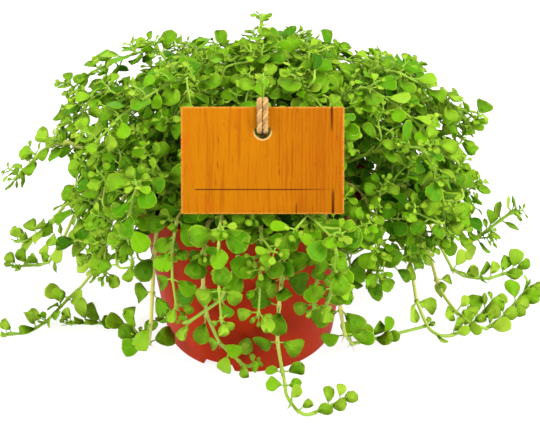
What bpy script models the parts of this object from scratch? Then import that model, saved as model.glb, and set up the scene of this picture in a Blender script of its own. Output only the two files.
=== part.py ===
"""Creeping pilea in a 12 cm nursery pot, with a small wooden name board hung on a loop of twine.

Metres, +Z up. The origin is the middle of the pot's foot, on the surface that it stands on.
-Y is the front, where the board faces.
"""
import math
import random

import bmesh
import bpy
import numpy as np
from mathutils import Matrix, Vector

GAP = 0.0003                      # left between pieces that touch

# Pot: a tapered body with a wide collar, all one moulding
POT_HEIGHT = 0.092
RIM_RADIUS = 0.0615
COLLAR_FOOT = 0.076               # height at which the body steps out to the collar
COLLAR_FOOT_RADIUS = 0.0590
BASE_RADIUS = 0.0455
TAPER = 0.118                     # radius gained per metre of height, below the collar
WALL = 0.0020
COLLAR_WALL = 0.0022
EASED = 0.0008                    # how far the moulding's edges are rounded off
FOOT_INNER_RADIUS = 0.0380
FOOT_RECESS = 0.0050
FLOOR_TOP = 0.0070
HUB_RADIUS = 0.0120               # the flat boss in the middle of the underside
NOTCH_ANGLES = (-110.0, 10.0, 130.0)
NOTCH_WIDTH = 0.020
NOTCH_NARROWED = 0.75             # its width at the top, as a share
NOTCH_HEIGHT = 0.0045
NOTCH_DEPTH = 0.014
DRAIN_RADIUS = 0.0035
DRAIN_SIDES = 8
DRAIN_CIRCLE = 0.025
DRAIN_COUNT = 6
TURN_STEPS = 30

# Soil
SOIL_EDGE_HEIGHT = 0.0755
SOIL_SHOULDER_RADIUS = 0.030
SOIL_MIDDLE_HEIGHT = 0.0830
ROOTED_HEIGHT = 0.066             # where each stem's buried end stands
HOLE_RADIUS = 0.00185
HOLE_SIDES = 5
HOLE_DEPTH = 0.030

# Name board and its twine
BOARD_WIDTH = 0.0705
BOARD_HEIGHT = 0.0463
BOARD_THICKNESS = 0.0030
BOARD_CENTRE = Vector((0.0077, -0.0620, 0.1329))
BOARD_LEAN = math.radians(-29.0)
BOARD_EASED = 0.0004
BOARD_HOLE_RADIUS = 0.0034
BOARD_HOLE_DROP = 0.0104          # from the top edge down to the middle of the hole
TWINE_RADIUS = 0.0013
STRAND_OFFSET = 0.0015
KNOT_RADIUS = 0.0033

# Stems and leaves
STEM_FOOT_RADIUS = 0.00112
STEM_TIP_RADIUS = 0.00078
STEM_SIDES = 3
NODE_LENGTH = 0.0014              # the short swelling that a pair of leaves grows from
TIP_LENGTH = 0.004                # from the last pair of leaves to the stem's end
BARE_FOOT = 0.020                 # no stem has leaves nearer than this to its buried end
PATH_STEP = 0.0012
RING_STEP = 0.003                 # how finely a bare stretch is searched for its bends
RING_TURN = math.radians(23)      # it gets a ring where it has turned this much, or gone this far
BARE_STEP = 0.030
BLADE_LENGTH = 0.0116
BLADE_WIDTH = 0.0108
BLADE_THICKNESS = 0.00065
BLADE_OUTLINE = ((0.0, 0.13), (0.50, 1.0), (1.0, 0.50))     # place along the blade, share of its width
PETIOLE_LENGTH = 0.0032
LEAF_SAMPLE = 0.0012
LEAF_CLEAR = 0.00055              # kept between a blade and what it passes
LEAF_TRIES = 9                    # aims tried before a leaf is left off
LEAF_SHRINK = 0.05                # and how much smaller each try is
LEAF_LEAST_RISE = 0.28            # least share of a leaf's direction that points out of its stem

LOW_HEIGHT = 0.040                # below this a stem turns until its leaves lie level beside it
LEVEL_HEIGHT = 0.008
FLOOR_HEIGHT = 0.012              # and below this its leaves stand up from it
FLOOR_RISE = 0.55

# The mound that the stems arch over
MOUND_CENTRE = Vector((0.010, 0.008, 0.092))
MOUND_REACH = (0.104, 0.095)      # sideways, and to the front and back
MOUND_RISE = 0.060
MOUND_DROP = 0.048
MOUND_SQUARENESS = 0.85
MOUND_BACK_FALL = 0.42            # share of its rise that the mound loses at its back edge
MOUND_ROOT_DROP = 0.045           # leaves face away from a point this far below the mound's middle
ARCH_COUNT = 18
ARCH_LEAFY = 0.062
ARCH_SPACING = 0.0140
ARCH_FOOT_SPREAD = 0.037
ARCH_HIGHEST = 0.93               # sine of the lift of the first arch's tip, and of the last one's
ARCH_LOWEST = -0.69
ARCH_SPAN = math.radians(38)      # how far back over the mound an arch lies
ARCH_SHRINKS = (1.0, 0.94, 0.88, 0.82, 0.76, 0.70)
ARCH_SWINGS = (0.0, 4.0, -4.0, 8.0, -8.0, 12.0, -12.0, 16.0, -16.0)
# More arches where the even spread leaves the mound thin: degrees round it, share of the way down, reach
ARCH_FILLS = ((72.0, 0.39, 1.0), (32.0, 0.57, 1.0), (-32.0, 0.30, 1.0), (130.0, 0.68, 1.0),
              (94.0, 0.64, 1.0), (172.0, 0.54, 1.0), (112.0, 0.34, 1.0), (165.0, 0.30, 1.12))
UPRIGHT_COUNT = 5
UPRIGHT_LEAFY = 0.034
UPRIGHT_SPACING = 0.0115
UPRIGHT_FOOT_SPREAD = 0.021
UPRIGHT_TIP_SPREAD = 0.040
UPRIGHT_BEND_HEIGHT = 0.118
GOLDEN_ANGLE = math.radians(137.508)

# Where a long stem crosses the rim: distance from the axis, height, and share of any extra lift
RIM_CROSSING = ((0.0475, 0.0910, 0.5), (0.0550, 0.0975, 1.0), (0.0630, 0.0985, 1.0))

# The long stems: where each leaves the rim, then the points that it passes, chosen by hand
TRAIL_SPACING = 0.0225
TRAIL_BARE = 0.048
TRAIL_FOOT_RADIUS = 0.0447
TRAILS = {
    "trail_front": (-75.0, (
        (0.017, -0.069, 0.086), (0.016, -0.066, 0.070), (0.015, -0.062, 0.052), (0.0145, -0.060, 0.036),
        (0.015, -0.057, 0.020), (0.018, -0.059, 0.007), (0.019, -0.066, 0.0030), (0.022, -0.074, 0.0028),
        (0.028, -0.080, 0.0028), (0.036, -0.077, 0.0028), (0.048, -0.071, 0.0050))),
    "trail_front_left": (-106.0, (
        (-0.019, -0.069, 0.086), (-0.020, -0.065, 0.068), (-0.0195, -0.061, 0.051),
        (-0.017, -0.058, 0.037), (-0.013, -0.0555, 0.026), (-0.007, -0.054, 0.017),
        (-0.001, -0.0535, 0.011), (0.004, -0.0545, 0.013))),
    "trail_front_short": (-91.0, (
        (-0.004, -0.071, 0.087), (-0.007, -0.0695, 0.074), (-0.013, -0.069, 0.062),
        (-0.021, -0.0675, 0.053), (-0.030, -0.064, 0.046))),
    "trail_left_low": (-128.0, (
        (-0.042, -0.054, 0.086), (-0.044, -0.054, 0.068), (-0.046, -0.053, 0.050), (-0.048, -0.049, 0.032),
        (-0.051, -0.040, 0.014), (-0.055, -0.027, 0.0045), (-0.062, -0.014, 0.0028),
        (-0.073, -0.008, 0.0028), (-0.086, -0.009, 0.0028), (-0.099, -0.010, 0.0045))),
    "trail_left": (170.0, (
        (-0.069, 0.012, 0.090), (-0.076, 0.012, 0.072), (-0.081, 0.010, 0.052), (-0.085, 0.011, 0.030),
        (-0.091, 0.019, 0.012), (-0.098, 0.021, 0.0035), (-0.104, 0.009, 0.0028), (-0.110, -0.006, 0.0028),
        (-0.118, -0.016, 0.0028), (-0.129, -0.020, 0.0045))),
    "trail_left_air": (184.0, (
        (-0.072, -0.004, 0.104), (-0.086, -0.003, 0.110), (-0.098, 0.000, 0.107), (-0.109, 0.003, 0.096),
        (-0.1155, 0.006, 0.088), (-0.1205, 0.008, 0.083))),
    "trail_left_far": (156.0, (
        (-0.066, 0.028, 0.090), (-0.081, 0.034, 0.072), (-0.096, 0.037, 0.048), (-0.108, 0.036, 0.024),
        (-0.118, 0.040, 0.009), (-0.129, 0.045, 0.0040), (-0.139, 0.041, 0.0055))),
    "trail_left_back": (141.0, (
        (-0.058, 0.045, 0.090), (-0.077, 0.058, 0.072), (-0.097, 0.064, 0.048), (-0.116, 0.062, 0.025),
        (-0.131, 0.064, 0.010), (-0.143, 0.068, 0.0055))),
    "trail_right_low": (-55.0, (
        (0.041, -0.058, 0.086), (0.043, -0.058, 0.066), (0.045, -0.054, 0.046), (0.048, -0.046, 0.026),
        (0.052, -0.034, 0.010), (0.058, -0.025, 0.0030), (0.067, -0.021, 0.0028), (0.080, -0.018, 0.0028),
        (0.096, -0.012, 0.0045))),
    "trail_right": (8.0, (
        (0.069, 0.008, 0.090), (0.078, 0.007, 0.070), (0.084, 0.005, 0.046), (0.088, -0.001, 0.022),
        (0.093, -0.011, 0.0075), (0.101, -0.019, 0.0028), (0.111, -0.017, 0.0028), (0.123, -0.006, 0.0028),
        (0.135, 0.010, 0.0045))),
    "trail_right_far": (22.0, (
        (0.067, 0.025, 0.090), (0.081, 0.026, 0.072), (0.094, 0.022, 0.044), (0.103, 0.012, 0.016),
        (0.110, 0.000, 0.0075), (0.116, -0.011, 0.0075), (0.124, -0.016, 0.0050), (0.136, -0.006, 0.0028),
        (0.148, 0.012, 0.0028), (0.158, 0.022, 0.0050))),
    "trail_right_back": (36.0, (
        (0.060, 0.041, 0.090), (0.080, 0.045, 0.072), (0.099, 0.041, 0.040), (0.113, 0.034, 0.012),
        (0.125, 0.032, 0.0045), (0.138, 0.032, 0.0040), (0.150, 0.036, 0.0050), (0.158, 0.041, 0.0070))),
    "trail_right_air": (-10.0, (
        (0.070, -0.012, 0.094), (0.090, -0.010, 0.082), (0.104, -0.006, 0.063), (0.115, -0.002, 0.052),
        (0.123, 0.000, 0.057), (0.130, 0.000, 0.064), (0.138, 0.000, 0.070))),
    "trail_back_left": (112.0, (
        (-0.027, 0.065, 0.090), (-0.033, 0.082, 0.070), (-0.036, 0.096, 0.044), (-0.040, 0.104, 0.018),
        (-0.047, 0.112, 0.0050), (-0.058, 0.119, 0.0028), (-0.069, 0.123, 0.0045))),
    "trail_back_right": (66.0, (
        (0.029, 0.064, 0.090), (0.037, 0.080, 0.070), (0.045, 0.092, 0.044), (0.052, 0.102, 0.018),
        (0.060, 0.112, 0.0050), (0.070, 0.121, 0.0028), (0.083, 0.126, 0.0045))),
}

# Short stems that hang over the rim between the long ones: an angle, and how high each clears the rim
SKIRTS = ((-64.0, 0.010), (-84.0, 0.004), (-99.0, 0.010), (-117.0, 0.006), (-140.0, 0.010),
          (-158.0, 0.004), (-38.0, 0.008), (-22.0, 0.003))
SKIRT_SPACING = 0.0140
SKIRT_BARE = 0.036
# Distance from the axis, height, share of the extra lift, and share of the sideways sweep
SKIRT_HANG = ((0.0720, 0.0965, 0.9, 0.15), (0.0795, 0.0885, 0.6, 0.4),
              (0.0835, 0.0760, 0.3, 0.7), (0.0840, 0.0620, 0.0, 1.0))
SKIRT_SWEEP = 6.0

# Two upright stems: the one that the twine hangs on, and the tallest sprig
CARRIER_FOOT = (0.0070, -0.0240)
CARRIER = ((0.0074, -0.0300, 0.106), (0.0077, -0.0368, 0.130),
           (0.0077, -0.0384, 0.1455), (0.0078, -0.0386, 0.163))
CARRIER_BARE = 0.035
CARRIER_SPACING = 0.0090
SPRIG_FOOT = (0.0020, 0.0060)
SPRIG = ((0.0030, 0.0120, 0.115), (0.0050, 0.0200, 0.142), (0.0070, 0.0260, 0.165))
SPRIG_BARE = 0.045
LOOP_HEIGHT = 0.1455              # where the twine passes round the carrier stem
LOOP_CLEAR = 0.0080               # of that stem's length above and below stays without leaves


def clear_scene():
    """Remove what a new file holds."""
    for ob in list(bpy.data.objects):
        bpy.data.objects.remove(ob, do_unlink=True)


def add_collection(name):
    """Make a collection in the scene."""
    group = bpy.data.collections.new(name)
    bpy.context.scene.collection.children.link(group)
    return group


def add_material(name, colour, roughness, metallic=0.0):
    """Make a Principled material of one colour."""
    material = bpy.data.materials.new(name)
    material.use_nodes = True
    shader = material.node_tree.nodes["Principled BSDF"]
    shader.inputs["Base Color"].default_value = (*colour, 1.0)
    shader.inputs["Roughness"].default_value = roughness
    shader.inputs["Metallic"].default_value = metallic
    return material


def add_object(name, bm, group, material=None):
    """Turn a bmesh into a named object."""
    mesh = bpy.data.meshes.new(name)
    bm.to_mesh(mesh)
    bm.free()
    ob = bpy.data.objects.new(name, mesh)
    group.objects.link(ob)
    if material:
        mesh.materials.append(material)
    return ob


def mark_as_cutter(ob):
    """Show a cutter as a wire and keep it out of renders."""
    ob.hide_render = True
    ob.display_type = "WIRE"


def cut(ob, cutters, name):
    """Take a collection of cutters out of an object with an exact Boolean."""
    modifier = ob.modifiers.new(name, "BOOLEAN")
    modifier.operation = "DIFFERENCE"
    modifier.operand_type = "COLLECTION"
    modifier.collection = cutters
    modifier.solver = "EXACT"


def turn(name, profile, group, material):
    """Spin a profile of (radius, height) points into a solid of revolution."""
    bm = bmesh.new()
    verts = [bm.verts.new((radius, 0.0, height)) for radius, height in profile]
    for start, end in zip(verts, verts[1:]):
        bm.edges.new((start, end))
    ob = add_object(name, bm, group, material)
    screw = ob.modifiers.new("turned", "SCREW")
    screw.steps = TURN_STEPS
    screw.render_steps = TURN_STEPS
    screw.use_merge_vertices = True
    screw.merge_threshold = 0.00001
    screw.use_smooth_shade = True
    return ob


def body_radius(height):
    """Outer radius of the pot's tapered body."""
    return BASE_RADIUS + TAPER * height


def pot_profile():
    """Half section of the pot: up the inside, over the rim, down the outside and under the foot."""
    return (
        (0.0, FLOOR_TOP),
        (body_radius(FLOOR_TOP) - WALL, FLOOR_TOP),
        (body_radius(COLLAR_FOOT) - WALL, COLLAR_FOOT),
        (COLLAR_FOOT_RADIUS - COLLAR_WALL, COLLAR_FOOT + COLLAR_WALL),
        (RIM_RADIUS - COLLAR_WALL, POT_HEIGHT),
        (RIM_RADIUS - EASED, POT_HEIGHT),
        (RIM_RADIUS, POT_HEIGHT - EASED),
        (COLLAR_FOOT_RADIUS, COLLAR_FOOT + EASED),
        (COLLAR_FOOT_RADIUS - EASED, COLLAR_FOOT),
        (body_radius(COLLAR_FOOT), COLLAR_FOOT - EASED),
        (BASE_RADIUS, EASED),
        (BASE_RADIUS - EASED, 0.0),
        (FOOT_INNER_RADIUS, 0.0),
        (FOOT_INNER_RADIUS - EASED, FOOT_RECESS),
        (HUB_RADIUS + EASED, FOOT_RECESS),
        (HUB_RADIUS, 0.0),
        (0.0, 0.0),
    )


def pot_cutters():
    """Three notches through the foot ring and the drain holes through the floor."""
    group = add_collection("pot_cutters")
    middle = (FOOT_INNER_RADIUS + BASE_RADIUS) / 2
    for number, angle in enumerate(NOTCH_ANGLES):
        bm = bmesh.new()
        bmesh.ops.create_cube(bm, size=1.0)
        for vert in bm.verts:
            narrowed = NOTCH_NARROWED if vert.co.z > 0 else 1.0
            vert.co.x *= NOTCH_DEPTH
            vert.co.y *= NOTCH_WIDTH * narrowed
            vert.co.z *= NOTCH_HEIGHT * 2
        ob = add_object(f"notch_cutter_{number}", bm, group)
        turned = math.radians(angle)
        ob.location = (middle * math.cos(turned), middle * math.sin(turned), 0.0)
        ob.rotation_euler = (0.0, 0.0, turned)
        mark_as_cutter(ob)
    for number in range(DRAIN_COUNT):
        bm = bmesh.new()
        bmesh.ops.create_cone(bm, cap_ends=True, segments=DRAIN_SIDES, radius1=DRAIN_RADIUS,
                              radius2=DRAIN_RADIUS, depth=3 * (FLOOR_TOP - FOOT_RECESS))
        ob = add_object(f"drain_cutter_{number}", bm, group)
        turned = math.tau * number / DRAIN_COUNT
        ob.location = (DRAIN_CIRCLE * math.cos(turned), DRAIN_CIRCLE * math.sin(turned),
                       (FOOT_RECESS + FLOOR_TOP) / 2)
        mark_as_cutter(ob)
    return group


def build_pot(group):
    """The moulded pot."""
    pot = turn("pot", pot_profile(), group, add_material("pot_plastic", (0.33, 0.035, 0.014), 0.42))
    cut(pot, pot_cutters(), "notches_and_drains")
    return pot


def soil_height(radius):
    """Height of the soil's mounded top."""
    share = min(radius / body_radius(SOIL_EDGE_HEIGHT), 1.0)
    return SOIL_MIDDLE_HEIGHT - (SOIL_MIDDLE_HEIGHT - SOIL_EDGE_HEIGHT) * share * share


def build_soil(group, stems):
    """The soil plug, with a plain hole for each stem."""
    wall = WALL + GAP
    low = FLOOR_TOP + GAP
    edge = body_radius(SOIL_EDGE_HEIGHT) - wall
    profile = (
        (0.0, soil_height(0.0)),
        (SOIL_SHOULDER_RADIUS, soil_height(SOIL_SHOULDER_RADIUS)),
        (edge, soil_height(edge)),
        (body_radius(low) - wall, low),
        (0.0, low),
    )
    soil = turn("soil", profile, group, add_material("soil", (0.035, 0.022, 0.014), 0.95))
    holes = add_collection("soil_cutters")
    for number, stem in enumerate(stems):
        bm = bmesh.new()
        bmesh.ops.create_cone(bm, cap_ends=True, segments=HOLE_SIDES, radius1=HOLE_RADIUS,
                              radius2=HOLE_RADIUS, depth=HOLE_DEPTH)
        ob = add_object(f"hole_cutter_{number}", bm, holes)
        foot = stem.path[0]
        ob.location = (foot[0], foot[1], ROOTED_HEIGHT - GAP + HOLE_DEPTH / 2)
        mark_as_cutter(ob)
    cut(soil, holes, "stem_holes")
    return soil


def board_matrix():
    """The board's place: X along its width, Z up its height, -Y out of its face."""
    return Matrix.Translation(BOARD_CENTRE) @ Matrix.Rotation(BOARD_LEAN, 4, "X")


def build_board(group):
    """A small plank with eased edges and a hole near its top edge."""
    bm = bmesh.new()
    bmesh.ops.create_cube(bm, size=1.0)
    bmesh.ops.scale(bm, vec=(BOARD_WIDTH, BOARD_THICKNESS, BOARD_HEIGHT), verts=bm.verts)
    material = add_material("board_wood", (0.62, 0.22, 0.012), 0.55)
    board = add_object("name_board", bm, group, material)
    board.matrix_world = board_matrix()
    eased = board.modifiers.new("eased", "BEVEL")
    eased.width = BOARD_EASED
    eased.segments = 1
    cutters = add_collection("board_cutters")
    bm = bmesh.new()
    bmesh.ops.create_cone(bm, cap_ends=True, segments=16, radius1=BOARD_HOLE_RADIUS,
                          radius2=BOARD_HOLE_RADIUS, depth=BOARD_THICKNESS * 3)
    drill = add_object("hole_drill", bm, cutters)
    place = Matrix.Translation((0.0, 0.0, BOARD_HEIGHT / 2 - BOARD_HOLE_DROP))
    drill.matrix_world = board_matrix() @ place @ Matrix.Rotation(math.pi / 2, 4, "X")
    mark_as_cutter(drill)
    cut(board, cutters, "hole")
    return board


def twine_points():
    """The loop of twine, in order: one strand up the board's face, round the stem and back."""
    hole = BOARD_HEIGHT / 2 - BOARD_HOLE_DROP
    face = BOARD_THICKNESS / 2 + TWINE_RADIUS + GAP
    top = BOARD_HEIGHT / 2 + TWINE_RADIUS + GAP
    climb = (
        (STRAND_OFFSET * 0.9, face + 0.0030, hole),
        (STRAND_OFFSET, 0.0, hole),
        (STRAND_OFFSET, -face + 0.0002, hole + 0.0006),
        (STRAND_OFFSET, -face - 0.0004, hole + 0.0040),
        (STRAND_OFFSET, -face, hole + 0.0085),
        (STRAND_OFFSET, -face + 0.0002, top - 0.0006),
        (STRAND_OFFSET, -0.0002, top + 0.0012),
    )
    place = board_matrix()
    up = [place @ Vector(point) for point in climb]
    stem = Vector((CARRIER[2][0], CARRIER[2][1], LOOP_HEIGHT))
    clear = STEM_FOOT_RADIUS + TWINE_RADIUS + GAP
    behind = [
        stem + Vector((clear * 0.75, -0.0055, 0.0012)),
        stem + Vector((clear * 1.02, 0.0, 0.0)),
        stem + Vector((clear * 0.72, clear * 0.76, 0.0)),
        stem + Vector((0.0, clear * 1.04, 0.0)),
    ]
    right = up + behind
    axis = BOARD_CENTRE.x
    left = [Vector((2 * axis - p.x, p.y, p.z)) for p in reversed(right[:-1])]
    return right + left


def build_twine(group):
    """One closed loop of twine, with its knot behind the board's hole."""
    material = add_material("twine", (0.55, 0.33, 0.13), 0.9)
    curve = bpy.data.curves.new("twine_route", "CURVE")
    curve.dimensions = "3D"
    curve.bevel_depth = TWINE_RADIUS
    curve.bevel_resolution = 2
    points = smooth_points([tuple(p) for p in twine_points()], TWINE_RADIUS * 2.4, closed=True)
    spline = curve.splines.new("POLY")
    spline.points.add(len(points) - 1)
    for point, place in zip(spline.points, points):
        point.co = (*place, 1.0)
    spline.use_cyclic_u = True
    route = bpy.data.objects.new("twine_route", curve)
    group.objects.link(route)
    evaluated = route.evaluated_get(bpy.context.evaluated_depsgraph_get())
    mesh = bpy.data.meshes.new_from_object(evaluated)
    bpy.data.objects.remove(route, do_unlink=True)
    bm = bmesh.new()
    bm.from_mesh(mesh)
    bmesh.ops.remove_doubles(bm, verts=bm.verts, dist=0.00001)
    bmesh.ops.recalc_face_normals(bm, faces=bm.faces)
    twine = add_object("twine", bm, group, material)
    twine.data.shade_smooth()
    knots = add_collection("knot_shapes")
    bm = bmesh.new()
    bmesh.ops.create_icosphere(bm, subdivisions=2, radius=KNOT_RADIUS)
    knot = add_object("knot_shape", bm, knots)
    behind = BOARD_THICKNESS / 2 + GAP + KNOT_RADIUS
    place = Matrix.Translation((0.0, behind, BOARD_HEIGHT / 2 - BOARD_HOLE_DROP))
    knot.matrix_world = board_matrix() @ place
    knot.data.shade_smooth()
    mark_as_cutter(knot)
    modifier = twine.modifiers.new("knot", "BOOLEAN")
    modifier.operation = "UNION"
    modifier.object = knot
    modifier.solver = "EXACT"
    return twine, points


def smooth_points(points, step, closed=False):
    """Points at even steps on a Catmull-Rom curve through the given ones."""
    given = [np.array(p, dtype=float) for p in points]
    if closed:
        chain = [given[-1]] + given + given[:2]
    else:
        chain = [2 * given[0] - given[1]] + given + [2 * given[-1] - given[-2]]
    dense = []
    parts = 12
    for a, b, c, d in zip(chain, chain[1:], chain[2:], chain[3:]):
        for part in range(parts):
            t = part / parts
            dense.append(0.5 * ((2 * b) + (c - a) * t + (2 * a - 5 * b + 4 * c - d) * t * t
                                + (3 * b - a - 3 * c + d) * t ** 3))
    dense.append(chain[-2])
    dense = np.array(dense)
    lengths = np.concatenate(([0.0], np.cumsum(np.linalg.norm(np.diff(dense, axis=0), axis=1))))
    count = max(int(round(lengths[-1] / step)), 2)
    wanted = np.linspace(0.0, lengths[-1], count + 1)
    if closed:
        wanted = wanted[:-1]
    return np.column_stack([np.interp(wanted, lengths, dense[:, axis]) for axis in range(3)])


class Room:
    """The space already taken, as points with a reach, so that nothing grown meets its neighbour."""

    def __init__(self):
        self.points = np.empty((0, 3))
        self.reach = np.empty(0)
        self.owner = np.empty(0, dtype=int)
        self.board = np.array(board_matrix().inverted())

    def take(self, points, reach, owner):
        """Mark points as taken by an owner."""
        self.points = np.vstack((self.points, points))
        self.reach = np.append(self.reach, np.full(len(points), reach))
        self.owner = np.append(self.owner, np.full(len(points), owner))

    def clear_of_holder(self, points, reach):
        """True if the points clear the surface below, the pot, the soil, the board and its view."""
        x, y, z = points.T
        radius = np.hypot(x, y)
        if (z < reach + GAP).any():
            return False
        outer = np.where(z > COLLAR_FOOT - 0.004, RIM_RADIUS, BASE_RADIUS + TAPER * z)
        beside = z < POT_HEIGHT + reach + 2 * GAP
        inside = (radius < COLLAR_FOOT_RADIUS - 0.003 - reach) & (z > SOIL_MIDDLE_HEIGHT + reach)
        if (beside & (radius < outer + reach + 2 * GAP) & ~inside).any():
            return False
        local = points @ self.board[:3, :3].T + self.board[:3, 3]
        margin = reach + 2 * GAP
        near = (abs(local[:, 0]) < BOARD_WIDTH / 2 + margin) & (abs(local[:, 2]) < BOARD_HEIGHT / 2 + margin)
        return not (near & (local[:, 1] < BOARD_THICKNESS / 2 + margin)).any()

    def is_free(self, points, reach, owner=-1, foot=None, foot_reach=0.0):
        """True if the points clear all that is taken, but for the owner's own near its foot."""
        if not len(self.points):
            return True
        low = points.min(axis=0) - 0.004
        high = points.max(axis=0) + 0.004
        near = ((self.points > low) & (self.points < high)).all(axis=1)
        if foot is not None:
            own = self.owner == owner
            near &= ~(own & (np.linalg.norm(self.points - foot, axis=1) < foot_reach))
        others = self.points[near]
        if not len(others):
            return True
        apart = np.linalg.norm(points[:, None, :] - others[None, :, :], axis=2)
        return bool((apart > reach + self.reach[near][None, :] + GAP).all())


def unit(vector):
    """A vector of length one."""
    return vector / np.linalg.norm(vector)


def toward_light(point):
    """The way a leaf at a point faces: up and out of the mound, or low down more up and to the front."""
    root = np.array((MOUND_CENTRE.x, MOUND_CENTRE.y, MOUND_CENTRE.z - MOUND_ROOT_DROP))
    low = max(1 - point[2] / LOW_HEIGHT, 0.0)
    out = unit(np.array(point) - root) * (1 - 0.8 * low)
    return unit(out + np.array((0.0, -0.12 - 0.25 * low, 0.55)))


class Stem:
    """One leafy stem: its path, its rings and the places of its leaf pairs."""

    def __init__(self, name, number, points, spacing, leafy_from=0.0, leafy_length=None, bare=None):
        self.name = name
        self.number = number
        self.draw = random.Random(f"{name} pilea")
        self.path = smooth_points(points, PATH_STEP)
        steps = np.linalg.norm(np.diff(self.path, axis=0), axis=1)
        self.along = np.concatenate(([0.0], np.cumsum(steps)))
        self.length = self.along[-1]
        if leafy_length:
            leafy_from = self.length - leafy_length
        self.nodes = []
        place = self.length - TIP_LENGTH
        while place > max(leafy_from, BARE_FOOT):
            height = self.at(place)[2]
            if bare is None or not bare[0] < height < bare[1]:
                self.nodes.append(place)
            place -= spacing * self.draw.uniform(0.9, 1.1)
        self.nodes.reverse()
        foot_radius = math.hypot(*self.path[0][:2])
        self.emerges = soil_height(foot_radius) + EASED - ROOTED_HEIGHT
        self.rings = self.ring_places()
        self.frames = self.ring_frames()

    def at(self, place):
        """The point at a distance along the stem."""
        return np.array([np.interp(place, self.along, self.path[:, axis]) for axis in range(3)])

    def radius(self, place):
        """The stem's radius at a distance along it."""
        share = place / self.length
        return STEM_FOOT_RADIUS + (STEM_TIP_RADIUS - STEM_FOOT_RADIUS) * share

    def ring_places(self):
        """Distances of the rings: two at each leaf pair, and enough between to follow the curve."""
        places = [0.0, self.emerges]
        for node in self.nodes:
            start = node - NODE_LENGTH / 2
            places += self.bends(places[-1], start)
            places += [start, node + NODE_LENGTH / 2]
        places.append(self.length)
        return places

    def bends(self, start, end):
        """Distances between two rings at which a bare stretch needs a ring to follow its curve."""
        found = []
        last_way = self.way(start)
        last = start
        place = start + RING_STEP
        while place < end - RING_STEP:
            way = self.way(place)
            if way.dot(last_way) < math.cos(RING_TURN) or place - last > BARE_STEP:
                found.append(place)
                last_way = way
                last = place
            place += RING_STEP
        return found

    def way(self, place):
        """The stem's direction at a distance along it."""
        return unit(self.at(min(place + RING_STEP, self.length)) - self.at(max(place - RING_STEP, 0.0)))

    def ring_frames(self):
        """Each ring's centre, its two cross directions and the stem's direction there."""
        frames = []
        side = None
        for place in self.rings:
            along = self.way(place)
            if side is None:
                turned = self.draw.uniform(0.0, math.tau)
                side = np.array((math.cos(turned), math.sin(turned), 0.0))
            centre = self.at(place)
            level = np.cross(along, (0.0, 0.0, 1.0))
            if centre[2] < LOW_HEIGHT and np.linalg.norm(level) > 0.3:
                level = math.copysign(1.0, level.dot(side)) * unit(level)
                share = 1 - max(centre[2] - LEVEL_HEIGHT, 0.0) / (LOW_HEIGHT - LEVEL_HEIGHT)
                side = side * (1 - share) + level * share
            side = unit(side - along * side.dot(along))
            frames.append((centre, side, np.cross(along, side), along))
        return frames

    def chords(self):
        """Points on the straight runs between the rings, which are what gets built."""
        centres = [frame[0] for frame in self.frames]
        found = []
        for start, end in zip(centres, centres[1:]):
            count = max(int(np.linalg.norm(end - start) / PATH_STEP), 1)
            found += [start + (end - start) * k / count for k in range(count)]
        found.append(centres[-1])
        return np.array(found)


def mound_point(azimuth, lift, reach=1.0):
    """A point on the mound's surface. A lift past 90 degrees goes on down the far side."""
    level = math.cos(lift)
    rise = math.sin(lift)
    out = math.copysign(abs(level) ** MOUND_SQUARENESS, level) * reach
    tall = MOUND_RISE if rise > 0 else MOUND_DROP
    up = math.copysign(abs(rise) ** MOUND_SQUARENESS, rise) * tall
    if rise > 0:
        up *= (1 - (1 - reach) * 0.8) * (1 - MOUND_BACK_FALL * max(out * math.sin(azimuth), 0.0))
    return (MOUND_CENTRE.x + MOUND_REACH[0] * out * math.cos(azimuth),
            MOUND_CENTRE.y + MOUND_REACH[1] * out * math.sin(azimuth),
            MOUND_CENTRE.z + up)


def arch_route(azimuth, share, reach):
    """A stem that rises from the soil and lies along the mound's surface to its tip."""
    lift = math.asin(ARCH_HIGHEST + (ARCH_LOWEST - ARCH_HIGHEST) * share)
    foot = ARCH_FOOT_SPREAD * math.sqrt(share + 0.02)
    foot_x = foot * math.cos(azimuth)
    foot_y = foot * math.sin(azimuth)
    start = mound_point(azimuth, lift + ARCH_SPAN, reach)
    lean = (0.35 * start[0] + 0.65 * foot_x, 0.35 * start[1] + 0.65 * foot_y,
            max(0.55 * start[2] + 0.45 * SOIL_MIDDLE_HEIGHT, POT_HEIGHT + 0.012))
    return rooted(foot_x, foot_y) + [
        lean,
        mound_point(azimuth, lift + ARCH_SPAN, reach * 0.97),
        mound_point(azimuth, lift + ARCH_SPAN / 2, reach),
        mound_point(azimuth, lift, reach),
    ]


def rooted(x, y):
    """The straight foot of a stem, up through its hole in the soil."""
    top = soil_height(math.hypot(x, y))
    return [(x, y, height) for height in (ROOTED_HEIGHT, ROOTED_HEIGHT + 0.006, top + 0.0005, top + 0.0055)]


def round_axis(radius, degrees, height):
    """A point at a distance and an angle round the pot's axis."""
    turned = math.radians(degrees)
    return radius * math.cos(turned), radius * math.sin(turned), height


def over_rim(degrees, lift=0.0):
    """The start of a long stem: up out of the soil near the wall and over the rim."""
    foot_x, foot_y, _ = round_axis(TRAIL_FOOT_RADIUS, degrees, 0.0)
    crossing = [round_axis(radius, degrees, height + lift * share) for radius, height, share in RIM_CROSSING]
    return rooted(foot_x, foot_y) + crossing


def skirt_route(degrees, lift, draw):
    """A short stem over the rim, hanging in front of the pot's wall."""
    reach = draw.uniform(0.96, 1.04)
    sweep = draw.uniform(-SKIRT_SWEEP, SKIRT_SWEEP)
    hang = [round_axis(radius * reach, degrees + sweep * swept, height + lift * lifted)
            for radius, height, lifted, swept in SKIRT_HANG]
    return over_rim(degrees, lift) + hang


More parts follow.
